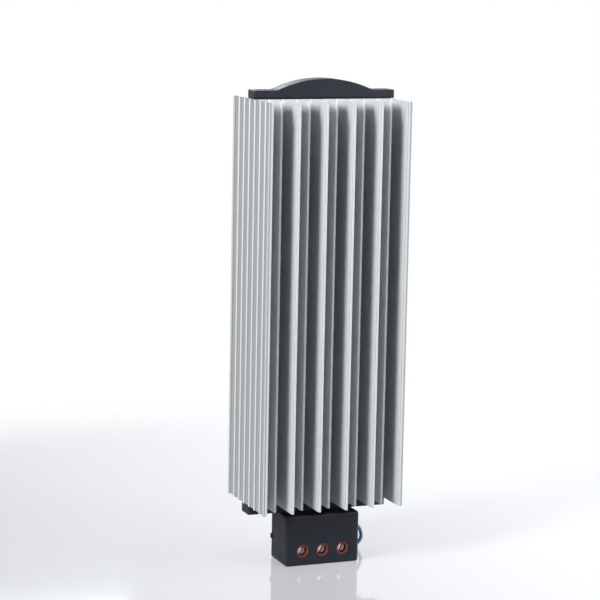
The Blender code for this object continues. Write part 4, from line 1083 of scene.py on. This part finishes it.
@dataclass
class Studio:
    """Floor, world, lights and camera."""

    camera_place: Triple = (-0.5028, -1.2451, 0.3751)
    yaw: float = 21.623
    pitch: float = 9.124
    roll: float = -1.088
    focal_pixels: float = 2242.92
    frame_pixels: float = 600.0
    sensor: float = 36.0
    floor_size: float = 3.0
    floor_colour: Triple = (0.21, 0.213, 0.22)
    floor_glow: Triple = (0.305, 0.310, 0.332)
    floor_roughness: float = 0.07
    floor_specular: float = 1.0
    floor_ior: float = 1.8
    # The camera's glow on the table is painted light that grows brighter towards +X, over this half-width
    # and by this share.
    glow_fade: float = 0.20
    glow_change: float = 0.52
    table_edge: Pair = (0.30, 0.50)
    sky_colour: Triple = (0.96, 0.98, 1.0)
    sky_strength: float = 0.16
    mirror_colour: Triple = (0.97, 0.985, 1.0)
    mirror_range: Pair = (0.30, 0.90)
    mirror_dark: float = 0.08
    bright_side: Triple = (0.45, 0.89, 0.0)
    lights: list[SoftLight] = field(default_factory=lambda: [
        SoftLight("front_right", (1.13, -1.13, 0.60), (0.0, 0.0, 0.16), (0.45, 1.2), 19.0,
                  (0.98, 0.99, 1.0)),
        SoftLight("side_right", (1.57, -0.33, 0.60), (0.0, 0.0, 0.16), (0.60, 1.2), 22.0),
        SoftLight("side_left", (-1.46, -0.65, 1.10), (0.0, 0.0, 0.20), (0.50, 1.0), 67.0,
                  (1.0, 0.992, 0.978)),
        SoftLight("top", (0.0, 0.1, 1.8), (0.0, 0.0, 0.16), (1.0, 1.0), 8.0),
        SoftLight("rim_back", (0.10, 1.60, 0.85), (0.0, 0.0, 0.25), (0.6, 0.6), 7.0,
                  (0.90, 0.96, 1.0)),
    ])

    def _floor(self) -> None:
        """Lay a pale glossy table that fades into the white behind it."""
        Bench.clear_selection()
        bpy.ops.mesh.primitive_plane_add(size=self.floor_size)
        table = bpy.context.object
        table.name = "table"
        made, graph, shader = new_material("table_gloss", self.floor_colour, self.floor_roughness)
        shader.inputs["Specular IOR Level"].default_value = self.floor_specular
        shader.inputs["IOR"].default_value = self.floor_ior
        flat = graph.add("ShaderNodeVectorMath", {0: graph.places(), 1: (1.0, 1.0, 0.0)},
                         operation="MULTIPLY").outputs[0]
        reach = graph.add("ShaderNodeVectorMath", {0: flat}, operation="LENGTH").outputs["Value"]
        near, far = self.table_edge
        share = graph.add("ShaderNodeMapRange", {0: reach, 1: near, 2: far, 3: 0.0, 4: 1.0},
                          interpolation_type="SMOOTHERSTEP")
        seen = graph.add("ShaderNodeLightPath").outputs["Is Camera Ray"]
        # Painted light: the table's glow grows brighter towards +X.
        across = graph.add("ShaderNodeSeparateXYZ", {0: graph.places()}).outputs["X"]
        painted_side_light = graph.spread(across, -self.glow_fade, self.glow_fade, 1.0 - self.glow_change,
                             1.0 + self.glow_change)
        glow = graph.add("ShaderNodeEmission", {"Color": self.floor_glow,
                                                "Strength": graph.times(seen, painted_side_light)})
        lit = graph.add("ShaderNodeAddShader", {0: shader.outputs[0], 1: glow.outputs[0]})
        clear = graph.add("ShaderNodeBsdfTransparent")
        mix = graph.add("ShaderNodeMixShader", {0: share.outputs[0], 1: lit.outputs[0],
                                                2: clear.outputs[0]})
        graph.put(made.node_tree.nodes["Material Output"].inputs["Surface"], mix.outputs[0])
        table.data.materials.append(made)

    def _world(self) -> None:
        """Make the world: white to the eye and in reflections, plain light elsewhere."""
        world = bpy.data.worlds.new("studio")
        bpy.context.scene.world = world
        world.use_nodes = True
        graph = Graph(world.node_tree)
        graph.tree.nodes.clear()
        path = graph.add("ShaderNodeLightPath")
        ways = graph.add("ShaderNodeTexCoord").outputs["Generated"]
        bright = Vector(self.bright_side).normalized()
        facing = graph.add("ShaderNodeVectorMath", {0: ways, 1: tuple(bright)},
                           operation="DOT_PRODUCT").outputs["Value"]
        shade = graph.spread(facing, *self.mirror_range, self.mirror_dark, 1.0)
        seen = graph.add("ShaderNodeBackground", {"Color": (1.0, 1.0, 1.0), "Strength": 1.0})
        mirrored = graph.add("ShaderNodeBackground", {"Color": self.mirror_colour, "Strength": shade})
        plain = graph.add("ShaderNodeBackground", {"Color": self.sky_colour,
                                                   "Strength": self.sky_strength})
        glossy = graph.math("ADD", path.outputs["Is Glossy Ray"], path.outputs["Is Transmission Ray"],
                            clamp=True)
        first = graph.add("ShaderNodeMixShader", {0: glossy, 1: plain.outputs[0], 2: mirrored.outputs[0]})
        second = graph.add("ShaderNodeMixShader", {0: path.outputs["Is Camera Ray"],
                                                   1: first.outputs[0], 2: seen.outputs[0]})
        out = graph.add("ShaderNodeOutputWorld")
        graph.put(out.inputs["Surface"], second.outputs[0])

    def _camera(self) -> None:
        """Set the camera at the photograph's place, angle and length of lens."""
        yaw, pitch, roll = (math.radians(angle) for angle in (self.yaw, self.pitch, self.roll))
        ahead = Vector((math.sin(yaw) * math.cos(pitch), math.cos(yaw) * math.cos(pitch),
                        -math.sin(pitch)))
        right = Vector((math.cos(yaw), -math.sin(yaw), 0.0))
        down = ahead.cross(right)
        level = math.cos(roll) * right + math.sin(roll) * down
        below = -math.sin(roll) * right + math.cos(roll) * down
        lens = bpy.data.cameras.new("photo_camera")
        lens.sensor_width = self.sensor
        lens.lens = self.sensor * self.focal_pixels / self.frame_pixels
        holder = bpy.data.objects.new("photo_camera", lens)
        bpy.context.scene.collection.objects.link(holder)
        turn = Matrix((level, -below, -ahead)).transposed().to_4x4()
        holder.matrix_world = Matrix.Translation(self.camera_place) @ turn
        bpy.context.scene.camera = holder

    def build(self) -> None:
        """Set up the whole studio."""
        self._floor()
        self._world()
        self._camera()
        for light in self.lights:
            light.build()
        bpy.context.scene.view_settings.view_transform = "Standard"


def main() -> None:
    """Build the dressed heater and its studio."""
    logging.basicConfig(level=logging.INFO, format="%(name)s: %(message)s")
    workshop = Workshop(Palette(Effects()))
    HeatSink().build(workshop)
    Caps().build(workshop)
    TerminalHousing().build(workshop)
    HeatingPack().build(workshop)
    RailClip().build(workshop)
    Studio().build()
    Bench.clear_selection()
    log.info("%d pieces", len(workshop.pieces))


if __name__ == "__main__":
    main()
